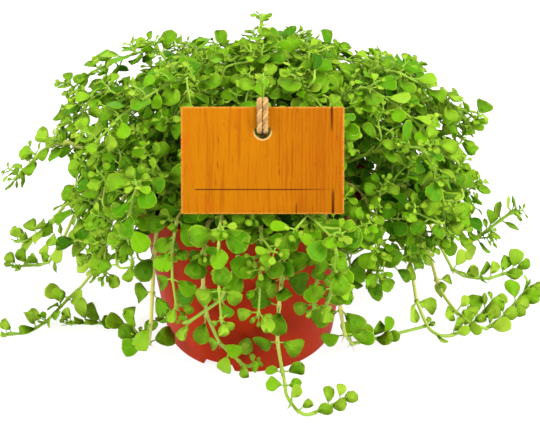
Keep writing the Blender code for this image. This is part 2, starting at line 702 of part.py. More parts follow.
def upright_route(number, draw):
    """A stem in the middle of the mound that stands nearly upright."""
    share = (number + 0.5) / UPRIGHT_COUNT
    azimuth = number * GOLDEN_ANGLE + 2.0
    foot = UPRIGHT_FOOT_SPREAD * math.sqrt(share)
    tip = UPRIGHT_TIP_SPREAD * math.sqrt(share)
    bend = (foot + tip) / 2
    x, y = math.cos(azimuth), math.sin(azimuth)
    top = MOUND_CENTRE.z + MOUND_RISE * (0.98 - 0.10 * share) * draw.uniform(0.96, 1.02)
    return rooted(foot * x, foot * y) + [
        (MOUND_CENTRE.x * 0.4 + bend * x, MOUND_CENTRE.y * 0.4 + bend * y, UPRIGHT_BEND_HEIGHT),
        (MOUND_CENTRE.x + tip * x, MOUND_CENTRE.y + tip * y, top),
    ]


def stem_fits(stem, room):
    """True if a stem above the soil clears all that is taken."""
    points = stem.chords()
    in_soil = np.hypot(points[:, 0], points[:, 1]) < body_radius(SOIL_EDGE_HEIGHT) - WALL
    buried = in_soil & (points[:, 2] < SOIL_MIDDLE_HEIGHT + 0.003)
    open_air = points[~buried]
    reach = STEM_FOOT_RADIUS + 0.0002
    return room.clear_of_holder(open_air, reach) and room.is_free(points, reach)


def plan_stems(room):
    """Every stem in turn: the long ones as chosen by hand, the arches wherever they clear."""
    loop = (LOOP_HEIGHT - LOOP_CLEAR, LOOP_HEIGHT + LOOP_CLEAR)
    carrier = rooted(*CARRIER_FOOT) + list(CARRIER)
    sprig = rooted(*SPRIG_FOOT) + list(SPRIG)
    stems = [
        Stem("carrier_stem", 1, carrier, CARRIER_SPACING, CARRIER_BARE, bare=loop),
        Stem("tall_sprig", 2, sprig, ARCH_SPACING, SPRIG_BARE),
    ]
    for name, (degrees, points) in TRAILS.items():
        stems.append(Stem(name, len(stems) + 1, over_rim(degrees) + list(points), TRAIL_SPACING, TRAIL_BARE))
    for number, (degrees, lift) in enumerate(SKIRTS):
        route = skirt_route(degrees, lift, random.Random(200 + number))
        stems.append(Stem(f"skirt_{number + 1:02d}", len(stems) + 1, route, SKIRT_SPACING, SKIRT_BARE))
    for number in range(UPRIGHT_COUNT):
        route = upright_route(number, random.Random(300 + number))
        stems.append(Stem(f"upright_{number + 1}", len(stems) + 1, route, UPRIGHT_SPACING,
                          leafy_length=UPRIGHT_LEAFY))
    for stem in stems:
        room.take(stem.chords(), STEM_FOOT_RADIUS, stem.number)
    arches = [(number * GOLDEN_ANGLE + 0.4, (number + 0.5) / ARCH_COUNT,
               random.Random(100 + number).uniform(0.95, 1.05)) for number in range(ARCH_COUNT)]
    arches += [(math.radians(degrees), share, reach) for degrees, share, reach in ARCH_FILLS]
    for number, (azimuth, share, reach) in enumerate(arches):
        stem = find_arch(f"arch_{number + 1:02d}", len(stems) + 1, azimuth, share, reach, room)
        if stem:
            stems.append(stem)
            room.take(stem.chords(), STEM_FOOT_RADIUS, stem.number)
    return stems


def find_arch(name, number, azimuth, share, reach, room):
    """Try an arch at its place, then a little aside or further in, until it clears."""
    for shrink in ARCH_SHRINKS:
        for swing in ARCH_SWINGS:
            points = arch_route(azimuth + math.radians(swing), share, reach * shrink)
            stem = Stem(name, number, points, ARCH_SPACING, leafy_length=ARCH_LEAFY)
            if stem_fits(stem, room):
                return stem
    print("no room for", name)
    return None


def leaf_stations(foot, outward, facing, size, petiole):
    """Corner points of a leaf's cross sections, from the petiole's end to the tip."""
    across = np.cross(facing, outward)
    stations = []
    for along, width in BLADE_OUTLINE:
        centre = foot + outward * (petiole + BLADE_LENGTH * size * along)
        half = BLADE_WIDTH * size * width / 2
        thick = BLADE_THICKNESS / 2
        stations.append([Vector(centre + across * x + facing * y)
                         for x, y in ((half, thick), (-half, thick), (-half, -thick), (half, -thick))])
    return stations


def leaf_samples(foot, outward, facing, size, petiole):
    """Points spread over a leaf's blade, and a few along its petiole."""
    across = np.cross(facing, outward)
    found = [foot + outward * (petiole * share) for share in (0.5, 1.0)]
    length = BLADE_LENGTH * size
    rows = max(int(math.ceil(length / LEAF_SAMPLE)), 3)
    places, widths = zip(*BLADE_OUTLINE)
    for row in range(rows + 1):
        share = row / rows
        width = np.interp(share, places, widths) * BLADE_WIDTH * size
        columns = max(int(math.ceil(width / LEAF_SAMPLE)), 1)
        for column in range(columns + 1):
            aside = (column / columns - 0.5) * width
            found.append(foot + outward * (petiole + length * share) + across * aside)
    return np.array(found)


def aim_leaf(stem, frame, way, attempt):
    """The way a leaf grows from its side of the stem, and the way its blade faces."""
    place, _, _, along = frame
    light = toward_light(place)
    draw = stem.draw
    outward = way * 0.80 + along * 0.55
    facing_down = way.dot(light)
    if facing_down < -0.3:
        outward = outward + light * 0.55
    outward = outward + np.array([draw.uniform(-1, 1) for _ in range(3)]) * (0.10 + 0.07 * attempt)
    excess = outward.dot(light)
    if excess > 0.25:
        outward = outward - light * (excess - 0.25)
    outward = unit(outward)
    if place[2] < FLOOR_HEIGHT and outward[2] < FLOOR_RISE:
        outward = unit(outward * (1, 1, 0) + np.array((0.0, 0.0, FLOOR_RISE + 0.04 * attempt)))
    facing = light - outward * light.dot(outward)
    facing = unit(facing)
    roll = draw.uniform(-1, 1) * math.radians(16 + 6 * attempt)
    across = np.cross(facing, outward)
    facing = facing * math.cos(roll) + across * math.sin(roll)
    return outward, unit(facing)


def draw_out(bm, face, corners):
    """Extrude a face to new corners, matched so that the sides twist least."""
    drawn = bmesh.ops.extrude_discrete_faces(bm, faces=[face])["faces"][0]
    verts = [loop.vert for loop in drawn.loops]
    count = len(verts)
    turns = [sum((vert.co - corners[(index + shift) % count]).length for index, vert in enumerate(verts))
             for shift in range(count)]
    shift = turns.index(min(turns))
    for index, vert in enumerate(verts):
        vert.co = corners[(index + shift) % count]
    return drawn


def ring_corners(frame, radius):
    """The corners of a stem's ring, in order round the stem."""
    centre, side, cross, _ = frame
    turns = [math.tau * number / STEM_SIDES for number in range(STEM_SIDES)]
    return [Vector(centre + (side * math.cos(turn) + cross * math.sin(turn)) * radius) for turn in turns]


def grow_leaf(bm, face, way, stem, frame, size, room):
    """Draw one leaf out of a face of its stem, at the first aim that clears everything else."""
    face_way = np.array(face.normal)
    way = unit(way * 0.7 + face_way * 0.3)
    foot = np.array(face.calc_center_median())
    petiole = PETIOLE_LENGTH * (0.75 + 0.25 * size)
    reach = BLADE_THICKNESS / 2 + LEAF_CLEAR
    for attempt in range(LEAF_TRIES):
        scale = size * (1 - LEAF_SHRINK * attempt)
        outward, facing = aim_leaf(stem, frame, way, attempt)
        if outward.dot(face_way) < LEAF_LEAST_RISE:
            continue
        samples = leaf_samples(foot, outward, facing, scale, petiole)
        if not room.clear_of_holder(samples, reach):
            continue
        if not room.is_free(samples[1:], reach, stem.number, foot, PETIOLE_LENGTH):
            continue
        for corners in leaf_stations(foot, outward, facing, scale, petiole):
            face = draw_out(bm, face, corners)
        room.take(samples, reach, stem.number)
        return True
    return False


def build_stem(stem, group, material, room):
    """Draw a stem up from its foot ring by ring, then its leaves out of its sides."""
    bm = bmesh.new()
    bmesh.ops.create_cone(bm, cap_ends=True, segments=STEM_SIDES, radius1=STEM_FOOT_RADIUS,
                          radius2=STEM_FOOT_RADIUS, depth=0.001)
    top = max(bm.faces, key=lambda face: face.calc_center_median().z)
    low_corners = ring_corners(stem.frames[0], stem.radius(0.0))
    top_corners = ring_corners(stem.frames[1], stem.radius(stem.rings[1]))
    for loop, low_corner, top_corner in zip(list(top.loops), low_corners, top_corners):
        upright = next(edge for edge in loop.vert.link_edges if edge not in top.edges[:])
        upright.other_vert(loop.vert).co = low_corner
        loop.vert.co = top_corner
    sides = {}
    for index in range(2, len(stem.rings)):
        top = draw_out(bm, top, ring_corners(stem.frames[index], stem.radius(stem.rings[index])))
        sides[index] = [face for edge in top.edges for face in edge.link_faces if face != top]
    grown = 0
    for count, node in enumerate(reversed(stem.nodes)):
        index = stem.rings.index(node + NODE_LENGTH / 2)
        frame = stem.frames[index]
        level = frame[0][2] < 2 * LEVEL_HEIGHT
        across = frame[1] if count % 2 or level else frame[2]
        young = min(1.0, 0.62 + 0.14 * count)
        for way in (across, -across):
            bm.normal_update()
            face = max((f for f in sides[index] if f.is_valid), key=lambda f: np.dot(f.normal, way))
            grown += grow_leaf(bm, face, way, stem, frame, young * stem.draw.uniform(0.9, 1.12), room)
    bmesh.ops.recalc_face_normals(bm, faces=bm.faces)
    return add_object(stem.name, bm, group, material), grown


def main():
    """Build the pot, the soil, the board on its twine, and the stems."""
    clear_scene()
    group = add_collection("pilea_in_pot")
    room = Room()
    build_pot(group)
    build_board(group)
    _, twine_route = build_twine(group)
    room.take(twine_route, TWINE_RADIUS + 0.0012, 0)
    stems = plan_stems(room)
    build_soil(group, stems)
    green = add_material("leaf_green", (0.16, 0.34, 0.02), 0.5)
    leaves = 0
    for stem in stems:
        _, grown = build_stem(stem, group, green, room)
        leaves += grown
    print("stems", len(stems), "leaves", leaves)


main()
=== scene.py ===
import math
import random

import bmesh
import bpy
import numpy as np
from mathutils import Matrix, Vector, noise


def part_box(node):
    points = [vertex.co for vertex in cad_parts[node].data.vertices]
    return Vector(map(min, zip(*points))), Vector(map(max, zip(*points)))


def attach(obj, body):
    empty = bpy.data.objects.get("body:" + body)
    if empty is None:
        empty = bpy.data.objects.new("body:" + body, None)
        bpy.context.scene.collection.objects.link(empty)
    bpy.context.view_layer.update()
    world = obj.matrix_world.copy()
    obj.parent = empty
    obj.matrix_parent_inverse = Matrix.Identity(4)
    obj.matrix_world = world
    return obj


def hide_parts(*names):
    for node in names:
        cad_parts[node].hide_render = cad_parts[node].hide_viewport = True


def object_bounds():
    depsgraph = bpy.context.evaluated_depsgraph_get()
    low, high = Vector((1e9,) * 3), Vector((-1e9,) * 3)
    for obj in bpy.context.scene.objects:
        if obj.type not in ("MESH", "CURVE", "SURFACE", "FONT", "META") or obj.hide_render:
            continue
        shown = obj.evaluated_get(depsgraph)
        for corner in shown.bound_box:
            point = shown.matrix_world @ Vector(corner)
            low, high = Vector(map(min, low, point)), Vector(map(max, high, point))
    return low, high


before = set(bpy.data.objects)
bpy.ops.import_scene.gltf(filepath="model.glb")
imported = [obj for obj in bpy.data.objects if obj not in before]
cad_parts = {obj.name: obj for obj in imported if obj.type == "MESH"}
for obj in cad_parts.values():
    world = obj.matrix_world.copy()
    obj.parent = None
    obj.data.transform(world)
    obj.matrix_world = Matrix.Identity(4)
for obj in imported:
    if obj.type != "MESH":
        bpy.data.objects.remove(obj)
cad_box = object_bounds()


# Pot
# One injection moulding of soft red-brown plastic: a tapered body, a wide collar that stiffens the rim,
# and a foot ring with three notches round a recessed floor that has drain holes.
class Signal:
    """A socket in a material. Arithmetic on it adds Math nodes, and node() adds any other node."""

    def __init__(self, tree, socket=None):
        self.tree = tree
        self.socket = socket

    def feed(self, socket, value):
        """Link another signal to a socket, or set the socket's own value."""
        if isinstance(value, Signal):
            self.tree.links.new(value.socket, socket)
        elif socket.type == "RGBA":
            socket.default_value = (*value, 1.0)
        else:
            socket.default_value = value

    def node(self, kind, settings=None, inputs=None, output=0):
        """Add a node: what it is set to first, such as a ramp's stops, then its sockets' values or links."""
        made = self.tree.nodes.new("ShaderNode" + kind)
        for name, value in (settings or {}).items():
            if name == "stops":
                for element, (place, colour) in zip(made.color_ramp.elements, (value[0], value[-1])):
                    element.position = place
                    element.color = (*colour, 1.0)
                for place, colour in value[1:-1]:
                    made.color_ramp.elements.new(place).color = (*colour, 1.0)
            else:
                setattr(made, name, value)
        for name, value in (inputs or {}).items():
            self.feed(made.inputs[name], value)
        return Signal(self.tree, made.outputs[output])

    def maths(self, operation, *values):
        """Add a Math node."""
        return self.node("Math", {"operation": operation}, dict(enumerate(values)))

    def __add__(self, other):
        return self.maths("ADD", self, other)

    def __radd__(self, other):
        return self.maths("ADD", other, self)

    def __sub__(self, other):
        return self.maths("SUBTRACT", self, other)

    def __rsub__(self, other):
        return self.maths("SUBTRACT", other, self)

    def __mul__(self, other):
        return self.maths("MULTIPLY", self, other)

    def __rmul__(self, other):
        return self.maths("MULTIPLY", other, self)

    def __abs__(self):
        return self.maths("ABSOLUTE", self)

    def step(self, start, end):
        """Rise smoothly from 0 to 1 as this signal goes from start to end, or fall if end is the lower."""
        low, high = min(start, end), max(start, end)
        risen = self.node("MapRange", {"interpolation_type": "SMOOTHSTEP"}, {0: self, 1: low, 2: high})
        return risen if end > start else 1 - risen

    def mix(self, low, high):
        """The colour from low to high as this signal goes from 0 to 1."""
        return self.node("Mix", {"data_type": "RGBA"}, {0: self, 6: low, 7: high}, 2)

    def clouds(self, place, scale, detail=2.0, roughness=0.5):
        """Noise of a scale at a place, from 0 to 1."""
        return self.node("TexNoise", None,
                         {"Vector": place, "Scale": scale, "Detail": detail, "Roughness": roughness})

    def relief(self, height, depth):
        """The normal of a surface that stands up by a depth where the height is 1."""
        return self.node("Bump", None, {"Strength": 1.0, "Distance": depth, "Height": height})

    def part(self, axis):
        """One of the three numbers of a place."""
        return self.node("SeparateXYZ", None, {0: self}, axis)

    def scaled(self, scale):
        """A place with its three numbers scaled, to draw a pattern out along an axis."""
        return self.node("Mapping", None, {0: self, 3: scale})


class Finish(Signal):
    """A Principled material. What is the same all over is set on its sockets at once."""

    def __init__(self, name, same):
        self.material = bpy.data.materials.new(name)
        self.material.use_nodes = True
        super().__init__(self.material.node_tree)
        self.shader = self.tree.nodes["Principled BSDF"]
        self.place = self.node("TexCoord", output="Object")
        self.wear(same)

    def own(self, label):
        """A number that the mesh keeps under a name."""
        return self.node("Attribute", {"attribute_name": label}, output="Fac")

    def wear(self, sockets):
        """Set or link the shader's own sockets."""
        for name, value in sockets.items():
            self.feed(self.shader.inputs[name], value)


def turn(name, profile, segments):
    """Turn a closed body: a ring is extruded and resized along a half section of (radius, height) points."""
    bpy.ops.object.select_all(action="DESELECT")
    radius, height = profile[0]
    bpy.ops.mesh.primitive_circle_add(vertices=segments, radius=radius, location=(0, 0, height))
    body = bpy.context.object
    body.name = name
    bpy.ops.object.transform_apply(location=True)
    bpy.ops.object.mode_set(mode="EDIT")
    bpy.ops.mesh.select_all(action="SELECT")
    for (start, low), (end, high) in zip(profile, profile[1:]):
        bpy.ops.mesh.extrude_region_move(TRANSFORM_OT_translate={"value": (0, 0, high - low)})
        bpy.ops.transform.resize(value=(end / start, end / start, 1), center_override=(0, 0, high))
    bpy.ops.mesh.select_all(action="SELECT")
    bpy.ops.mesh.fill_holes(sides=0)
    bpy.ops.mesh.normals_make_consistent(inside=False)
    bpy.ops.object.mode_set(mode="OBJECT")
    return body


def ease_edges(body, sharpness, width):
    """Round the edges that are sharper than an angle."""
    bpy.ops.object.mode_set(mode="EDIT")
    bpy.ops.mesh.select_mode(type="EDGE")
    bpy.ops.mesh.select_all(action="DESELECT")
    bpy.ops.mesh.edges_select_sharp(sharpness=sharpness)
    bpy.ops.mesh.bevel(offset=width, segments=3)
    bpy.ops.object.mode_set(mode="OBJECT")


def cut(body, cutters):
    """Join the cutters and take them out of a body."""
    bpy.ops.object.select_all(action="DESELECT")
    for cutter in cutters:
        cutter.select_set(True)
    bpy.context.view_layer.objects.active = cutters[0]
    if len(cutters) > 1:
        bpy.ops.object.join()
    joined = bpy.context.object
    modifier = body.modifiers.new("cut", "BOOLEAN")
    modifier.operation = "DIFFERENCE"
    modifier.object = joined
    modifier.solver = "EXACT"
    bpy.context.view_layer.objects.active = body
    bpy.ops.object.modifier_apply(modifier="cut")
    bpy.data.objects.remove(joined)


def shade(body, angle):
    """Shade a piece smooth, apart from edges sharper than an angle."""
    bpy.ops.object.select_all(action="DESELECT")
    body.select_set(True)
    bpy.context.view_layer.objects.active = body
    bpy.ops.object.shade_smooth_by_angle(angle=angle)


def hand_over(piece, slot, *nodes):
    """Let a finished piece stand for its CAD nodes."""
    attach(piece, "root")
    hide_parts(*nodes)


pot_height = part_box("pot")[1].z
rim_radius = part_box("pot")[1].x
base_radius = 0.0455
taper = 0.118
wall = 0.0020
collar_foot = 0.076
collar_foot_radius = 0.0590
collar_wall = 0.0022
lip = 0.0008
floor_top = 0.0070
foot_inner_radius = 0.0380
foot_recess = 0.0050
hub_radius = 0.0120
pot_segments = 144
pot_edge_round = 0.0005


def body_radius(height):
    """Outer radius of the pot's tapered body."""
    return base_radius + taper * height


def round_pot(radius, turned, height):
    """The place at a radius and an angle round the pot's axis."""
    return radius * math.cos(turned), radius * math.sin(turned), height


pot = turn("nursery_pot", (
    (body_radius(floor_top) - wall, floor_top),
    (body_radius(collar_foot) - wall, collar_foot),
    (collar_foot_radius - collar_wall, collar_foot + collar_wall),
    (rim_radius - collar_wall, pot_height),
    (rim_radius, pot_height),
    (rim_radius, pot_height - 2 * lip),
    (rim_radius - lip / 2, pot_height - 3 * lip),
    (collar_foot_radius, collar_foot),
    (body_radius(collar_foot), collar_foot - lip / 2),
    (base_radius, 0.0),
    (foot_inner_radius, 0.0),
    (foot_inner_radius - lip, foot_recess),
    (hub_radius + lip, foot_recess),
    (hub_radius, 0.0),
), pot_segments)
ease_edges(pot, math.radians(18), pot_edge_round)

notch_angles = (-110.0, 10.0, 130.0)
notch_circle = (foot_inner_radius + base_radius) / 2
notch_depth = 0.014
notch_width = 0.020
notch_height = 0.0045
notch_top_share = 0.75
drain_count = 6
drain_radius = 0.0035
drain_circle = 0.025
drain_depth = 3 * (floor_top - foot_recess)
pot_cutters = []
for angle in notch_angles:
    turned = math.radians(angle)
    bpy.ops.mesh.primitive_cube_add(size=1, location=round_pot(notch_circle, turned, 0),
                                    rotation=(0, 0, turned),
                                    scale=(notch_depth, notch_width, 2 * notch_height))
    cutter = bpy.context.object
    for vert in cutter.data.vertices:
        if vert.co.z > 0:
            vert.co.y *= notch_top_share
    bpy.ops.object.transform_apply()
    pot_cutters.append(cutter)
for number in range(drain_count):
    bpy.ops.mesh.primitive_cylinder_add(
        vertices=32, radius=drain_radius, depth=drain_depth,
        location=round_pot(drain_circle, math.tau * number / drain_count, foot_recess))
    pot_cutters.append(bpy.context.object)
cut(pot, pot_cutters)
shade(pot, math.radians(32))

brick_dark = (0.29, 0.015, 0.0010)
brick_light = (0.38, 0.024, 0.0015)
dried_soil = (0.22, 0.045, 0.010)
splash_height = 0.020
plastic = Finish("pot_plastic", {"Specular IOR Level": 0.03})
cloudy = plastic.clouds(plastic.place, 45.0, 3.0)
grain = plastic.clouds(plastic.place, 3200.0, 2.0)
scuffs = plastic.clouds(plastic.place.scaled((1.0, 1.0, 0.12)), 700.0, 4.0)
splashes = plastic.clouds(plastic.place, 260.0, 5.0).step(0.50, 0.68)
splashed = plastic.place.part(2).step(splash_height, 0.0) * splashes
plastic.wear({
    "Base Color": (0.55 * splashed).mix(cloudy.step(0.3, 0.7).mix(brick_dark, brick_light), dried_soil),
    "Roughness": 0.42 + 0.14 * scuffs.step(0.35, 0.75) + 0.25 * splashed,
    "Normal": plastic.relief(grain * 0.6 + scuffs * 0.4, 0.00006),
})
pot.data.materials.append(plastic.material)
hand_over(pot, "pot_plastic", "pot")


# Soil
# Dark, damp peat mix that fills the pot to below its rim: it slumps toward the wall and has crumbs of
# peat and bark lying loose on top.
soil_edge_height = 0.0755
soil_middle_height = 0.0830
soil_gap = 0.0003
soil_ring_count = 26
soil_segments = 120
soil_roughness = 0.0011
crumb_count = 190
crumb_sizes = (0.0006, 0.0019)


def soil_height(radius):
    """Height of the soil's mounded top."""
    share = min(radius / body_radius(soil_edge_height), 1.0)
    return soil_middle_height - (soil_middle_height - soil_edge_height) * share * share


soil_edge = body_radius(soil_edge_height) - wall - soil_gap
soil_rings = [soil_edge * (1 - number / soil_ring_count) for number in range(soil_ring_count)]
soil_foot = floor_top + soil_gap
soil = turn("potting_soil", (
    (body_radius(soil_foot) - wall - soil_gap, soil_foot),
    *((radius, soil_height(radius) - 0.001) for radius in soil_rings),
), soil_segments)
for vert in soil.data.vertices:
    if vert.co.z > soil_edge_height - 0.002:
        rough = noise.fractal(vert.co * 160, 1.0, 2.0, 4) + 0.5 * noise.noise(vert.co * 900)
        vert.co.z += soil_roughness * rough
crumbs = [soil]
crumb_draw = random.Random(41)
for _ in range(crumb_count):
    turned = crumb_draw.uniform(0, math.tau)
    out = soil_edge * 0.96 * math.sqrt(crumb_draw.random())
    size = crumb_draw.uniform(*crumb_sizes)
    bpy.ops.mesh.primitive_ico_sphere_add(subdivisions=1, radius=size,
                                          location=round_pot(out, turned, soil_height(out) + size * 0.2))
    crumb = bpy.context.object
    crumb.scale = [crumb_draw.uniform(0.6, 1.3) for _ in range(3)]
    crumb.rotation_euler = [crumb_draw.uniform(0, math.tau) for _ in range(3)]
    crumbs.append(crumb)
bpy.ops.object.select_all(action="DESELECT")
for crumb in crumbs:
    crumb.select_set(True)
bpy.context.view_layer.objects.active = soil
bpy.ops.object.join()
shade(soil, math.radians(50))

wet_peat = (0.010, 0.006, 0.004)
peat_brown = (0.045, 0.026, 0.014)
bark_brown = (0.11, 0.065, 0.035)
peat = Finish("peat", {"Specular IOR Level": 0.25})
lumps = peat.clouds(peat.place, 420.0, 6.0, 0.7)
fibre = peat.clouds(peat.place, 1500.0, 4.0)
peat.wear({
    "Base Color": lumps.step(0.35, 0.7).mix(wet_peat, fibre.mix(peat_brown, bark_brown)),
    "Roughness": 0.82 + 0.16 * fibre,
    "Normal": peat.relief(lumps * 0.7 + fibre * 0.3, 0.0006),
})
soil.data.materials.append(peat.material)
hand_over(soil, "soil", "soil")


# Leafy stems
# Thin pale stems that root in the soil, arch over the mound or trail over the rim, and bear small round
# fleshy leaves in opposite pairs, with young rosettes on side shoots that grow from their leaf axils.
mound_centre = np.array((0.0135, 0.008, 0.093))
mound_reach = (0.104, 0.095)
mound_rise = 0.0615
mound_drop = 0.048
mound_squareness = 0.85
mound_back_fall = 0.42
mound_root = mound_centre - (0, 0, 0.045)
low_height = 0.040
rooted_height = 0.066
line_step = 0.0015
cad_blade_thickness = 0.00065
weld = 0.000005
full_length = 0.0116
full_width = 0.0110
young_length = 0.0060
young_width = 0.84
petiole_length = 0.0030

board_centre = Vector((0.0077, -0.0620, 0.1329))
board_size = (0.0705, 0.0030, 0.0463)
board_lean = math.radians(-29.0)
board_place = Matrix.Translation(board_centre) @ Matrix.Rotation(board_lean, 4, "X")


def unit(vector):
    """A vector of length one."""
    return vector / math.sqrt(vector.dot(vector))


def toward_light(point):
    """The way a leaf at a point faces: up and out of the mound, or low down more up and to the front."""
    low = max(1 - point[2] / low_height, 0.0)
    return unit(unit(point - mound_root) * (1 - 0.8 * low) + (0.0, -0.12 - 0.25 * low, 0.55))


def smooth_line(points, step):
    """Points at even steps on a Catmull-Rom curve through the given ones."""
    chain = [2 * points[0] - points[1], *points, 2 * points[-1] - points[-2]]
    shares = np.arange(12)[:, None] / 12
    dense = [0.5 * (2 * b + (c - a) * shares + (2 * a - 5 * b + 4 * c - d) * shares ** 2
                    + (3 * b - a - 3 * c + d) * shares ** 3)
             for a, b, c, d in zip(chain, chain[1:], chain[2:], chain[3:])]
    dense = np.vstack(dense + [points[-1][None, :]])
    lengths = np.concatenate(([0.0], np.cumsum(np.linalg.norm(np.diff(dense, axis=0), axis=1))))
    wanted = np.linspace(0.0, lengths[-1], max(int(lengths[-1] / step), 3) + 1)
    return np.column_stack([np.interp(wanted, lengths, dense[:, axis]) for axis in range(3)])


class Line:
    """The centre line of a stem or shoot, with its radius from foot to tip."""

    def __init__(self, points, thick, thin):
        self.points = smooth_line(points, line_step)
        self.step = np.linalg.norm(self.points[1] - self.points[0])
        self.length = self.step * (len(self.points) - 1)
        self.thick = thick
        self.thin = thin
        self.swellings = []

    def at(self, place):
        """The point at a distance from the foot."""
        place = min(max(place, 0.0), self.length)
        low = min(int(place / self.step), len(self.points) - 2)
        share = place / self.step - low
        return self.points[low] * (1 - share) + self.points[low + 1] * share

    def way(self, place):
        """The direction at a distance from the foot."""
        return unit(self.at(place + line_step) - self.at(place - line_step))

    def place_of(self, point):
        """The distance from the foot of the line's nearest point."""
        return self.step * int(np.argmin(np.linalg.norm(self.points - point, axis=1)))


def next_layer(layer, links, wanted, seen):
    """The corners next to a layer of corners that are wanted and weren't seen before."""
    return sorted({other for index in layer for other in links[index] if wanted[other]} - seen)


def read_stem(name):
    """A CAD stem's ring centres from foot to tip, and the foot, tip and facing of each of its blades."""
    shape = bmesh.new()
    shape.from_mesh(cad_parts[name].data)
    bmesh.ops.remove_doubles(shape, verts=shape.verts, dist=weld)
    shape.verts.index_update()
    shape.verts.ensure_lookup_table()
    places = np.array([vert.co for vert in shape.verts])
    links = [[edge.other_vert(vert).index for edge in vert.link_edges] for vert in shape.verts]
    in_blade = np.zeros(len(places), bool)
    for edge in shape.edges:
        if abs(edge.calc_length() - cad_blade_thickness) < 2 * weld:
            in_blade[[vert.index for vert in edge.verts]] = True
    shape.free()
    near_axis = np.hypot(places[:, 0], places[:, 1]) < soil_edge
    buried = (abs(places[:, 2] - rooted_height) < 4 * weld) & near_axis & ~in_blade
    ring = list(np.flatnonzero(buried))
    seen = set(ring)
    rings = []
    while ring:
        rings.append(places[ring].mean(axis=0))
        ring = next_layer(ring, links, ~in_blade, seen)
        seen.update(ring)
    blades = []
    for start in np.flatnonzero(in_blade):
        if start in seen:
            continue
        layer = [index for index in grown_from(start, links, in_blade)
                 if any(not in_blade[other] for other in links[index])]
        root = places[layer].mean(axis=0)
        while layer:
            seen.update(layer)
            last = layer
            layer = next_layer(layer, links, in_blade, seen)
        corners = places[last]
        posts = sorted(((corners[i] - corners[j]) for i in range(len(last)) for j in range(i)),
                       key=lambda post: post.dot(post))
        facing = unit(posts[0])
        if facing.dot(toward_light(root)) < 0:
            facing = -facing
        blades.append((root, corners.mean(axis=0), facing))
    return rings, blades


def grown_from(start, links, in_blade):
    """All the corners of the blade that a corner belongs to."""
    found = [start]
    for index in found:
        found += [other for other in links[index] if in_blade[other] and other not in found]
    return sorted(found)


def model_leaf(corners, insets):
    """A round blade with rings inside its rim, closed below by a flat cone."""
    belly = 0.08
    bpy.ops.object.select_all(action="DESELECT")
    bpy.ops.mesh.primitive_circle_add(vertices=corners, radius=1.0, location=(0, 0, 0))
    blade = bpy.context.object
    bpy.ops.object.mode_set(mode="EDIT")
    bpy.ops.mesh.select_mode(type="VERT")
    bpy.ops.mesh.select_all(action="SELECT")
    bpy.ops.mesh.extrude_region_move(TRANSFORM_OT_translate={"value": (0, 0, -belly)})
    bpy.ops.mesh.merge(type="CENTER")
    bpy.ops.object.mode_set(mode="OBJECT")
    for vert in blade.data.vertices:
        vert.select = vert.co.z > -belly / 2
    bpy.ops.object.mode_set(mode="EDIT")
    bpy.ops.mesh.edge_face_add()
    for inset in insets:
        bpy.ops.mesh.inset(thickness=inset)
    bpy.ops.mesh.poke()
    bpy.ops.mesh.select_all(action="SELECT")
    bpy.ops.mesh.normals_make_consistent(inside=False)
    bpy.ops.object.mode_set(mode="OBJECT")
    places = np.array([vert.co for vert in blade.data.vertices])
    faces = [tuple(face.vertices) for face in blade.data.polygons]
    below = [any(places[index][2] < -belly / 2 for index in face) for face in faces]
    bpy.data.objects.remove(blade)
    return places, faces, below


class LeafShape:
    """The blade that leaves are copied from, and where in the leaf each of its corners is."""

    def __init__(self, corners, insets):
        self.places, self.faces, self.below = model_leaf(corners, insets)
        self.rho = np.hypot(self.places[:, 0], self.places[:, 1])
        self.phi = np.arctan2(self.places[:, 0], self.places[:, 1])
        toward_tip = (1 + np.cos(self.phi)) / 2
        self.rim = np.clip((self.rho - 0.47) / 0.53, 0, 1)
        self.teeth = (np.where(self.rho > 0.95, np.cos(corners / 2 * self.phi), 0.0)
                      * np.clip(2.4 * toward_tip - 1.1, 0, 1))
        self.across = (self.rho * np.sin(self.phi) * (0.94 + 0.26 * toward_tip)
                       * (1 - 0.55 * self.rho * (1 - toward_tip) ** 1.5))
        self.along = 0.5 + 0.5 * self.rho * np.cos(self.phi)


grown_leaf = LeafShape(16, (0.13, 0.40))
young_leaf = LeafShape(12, (0.30,))


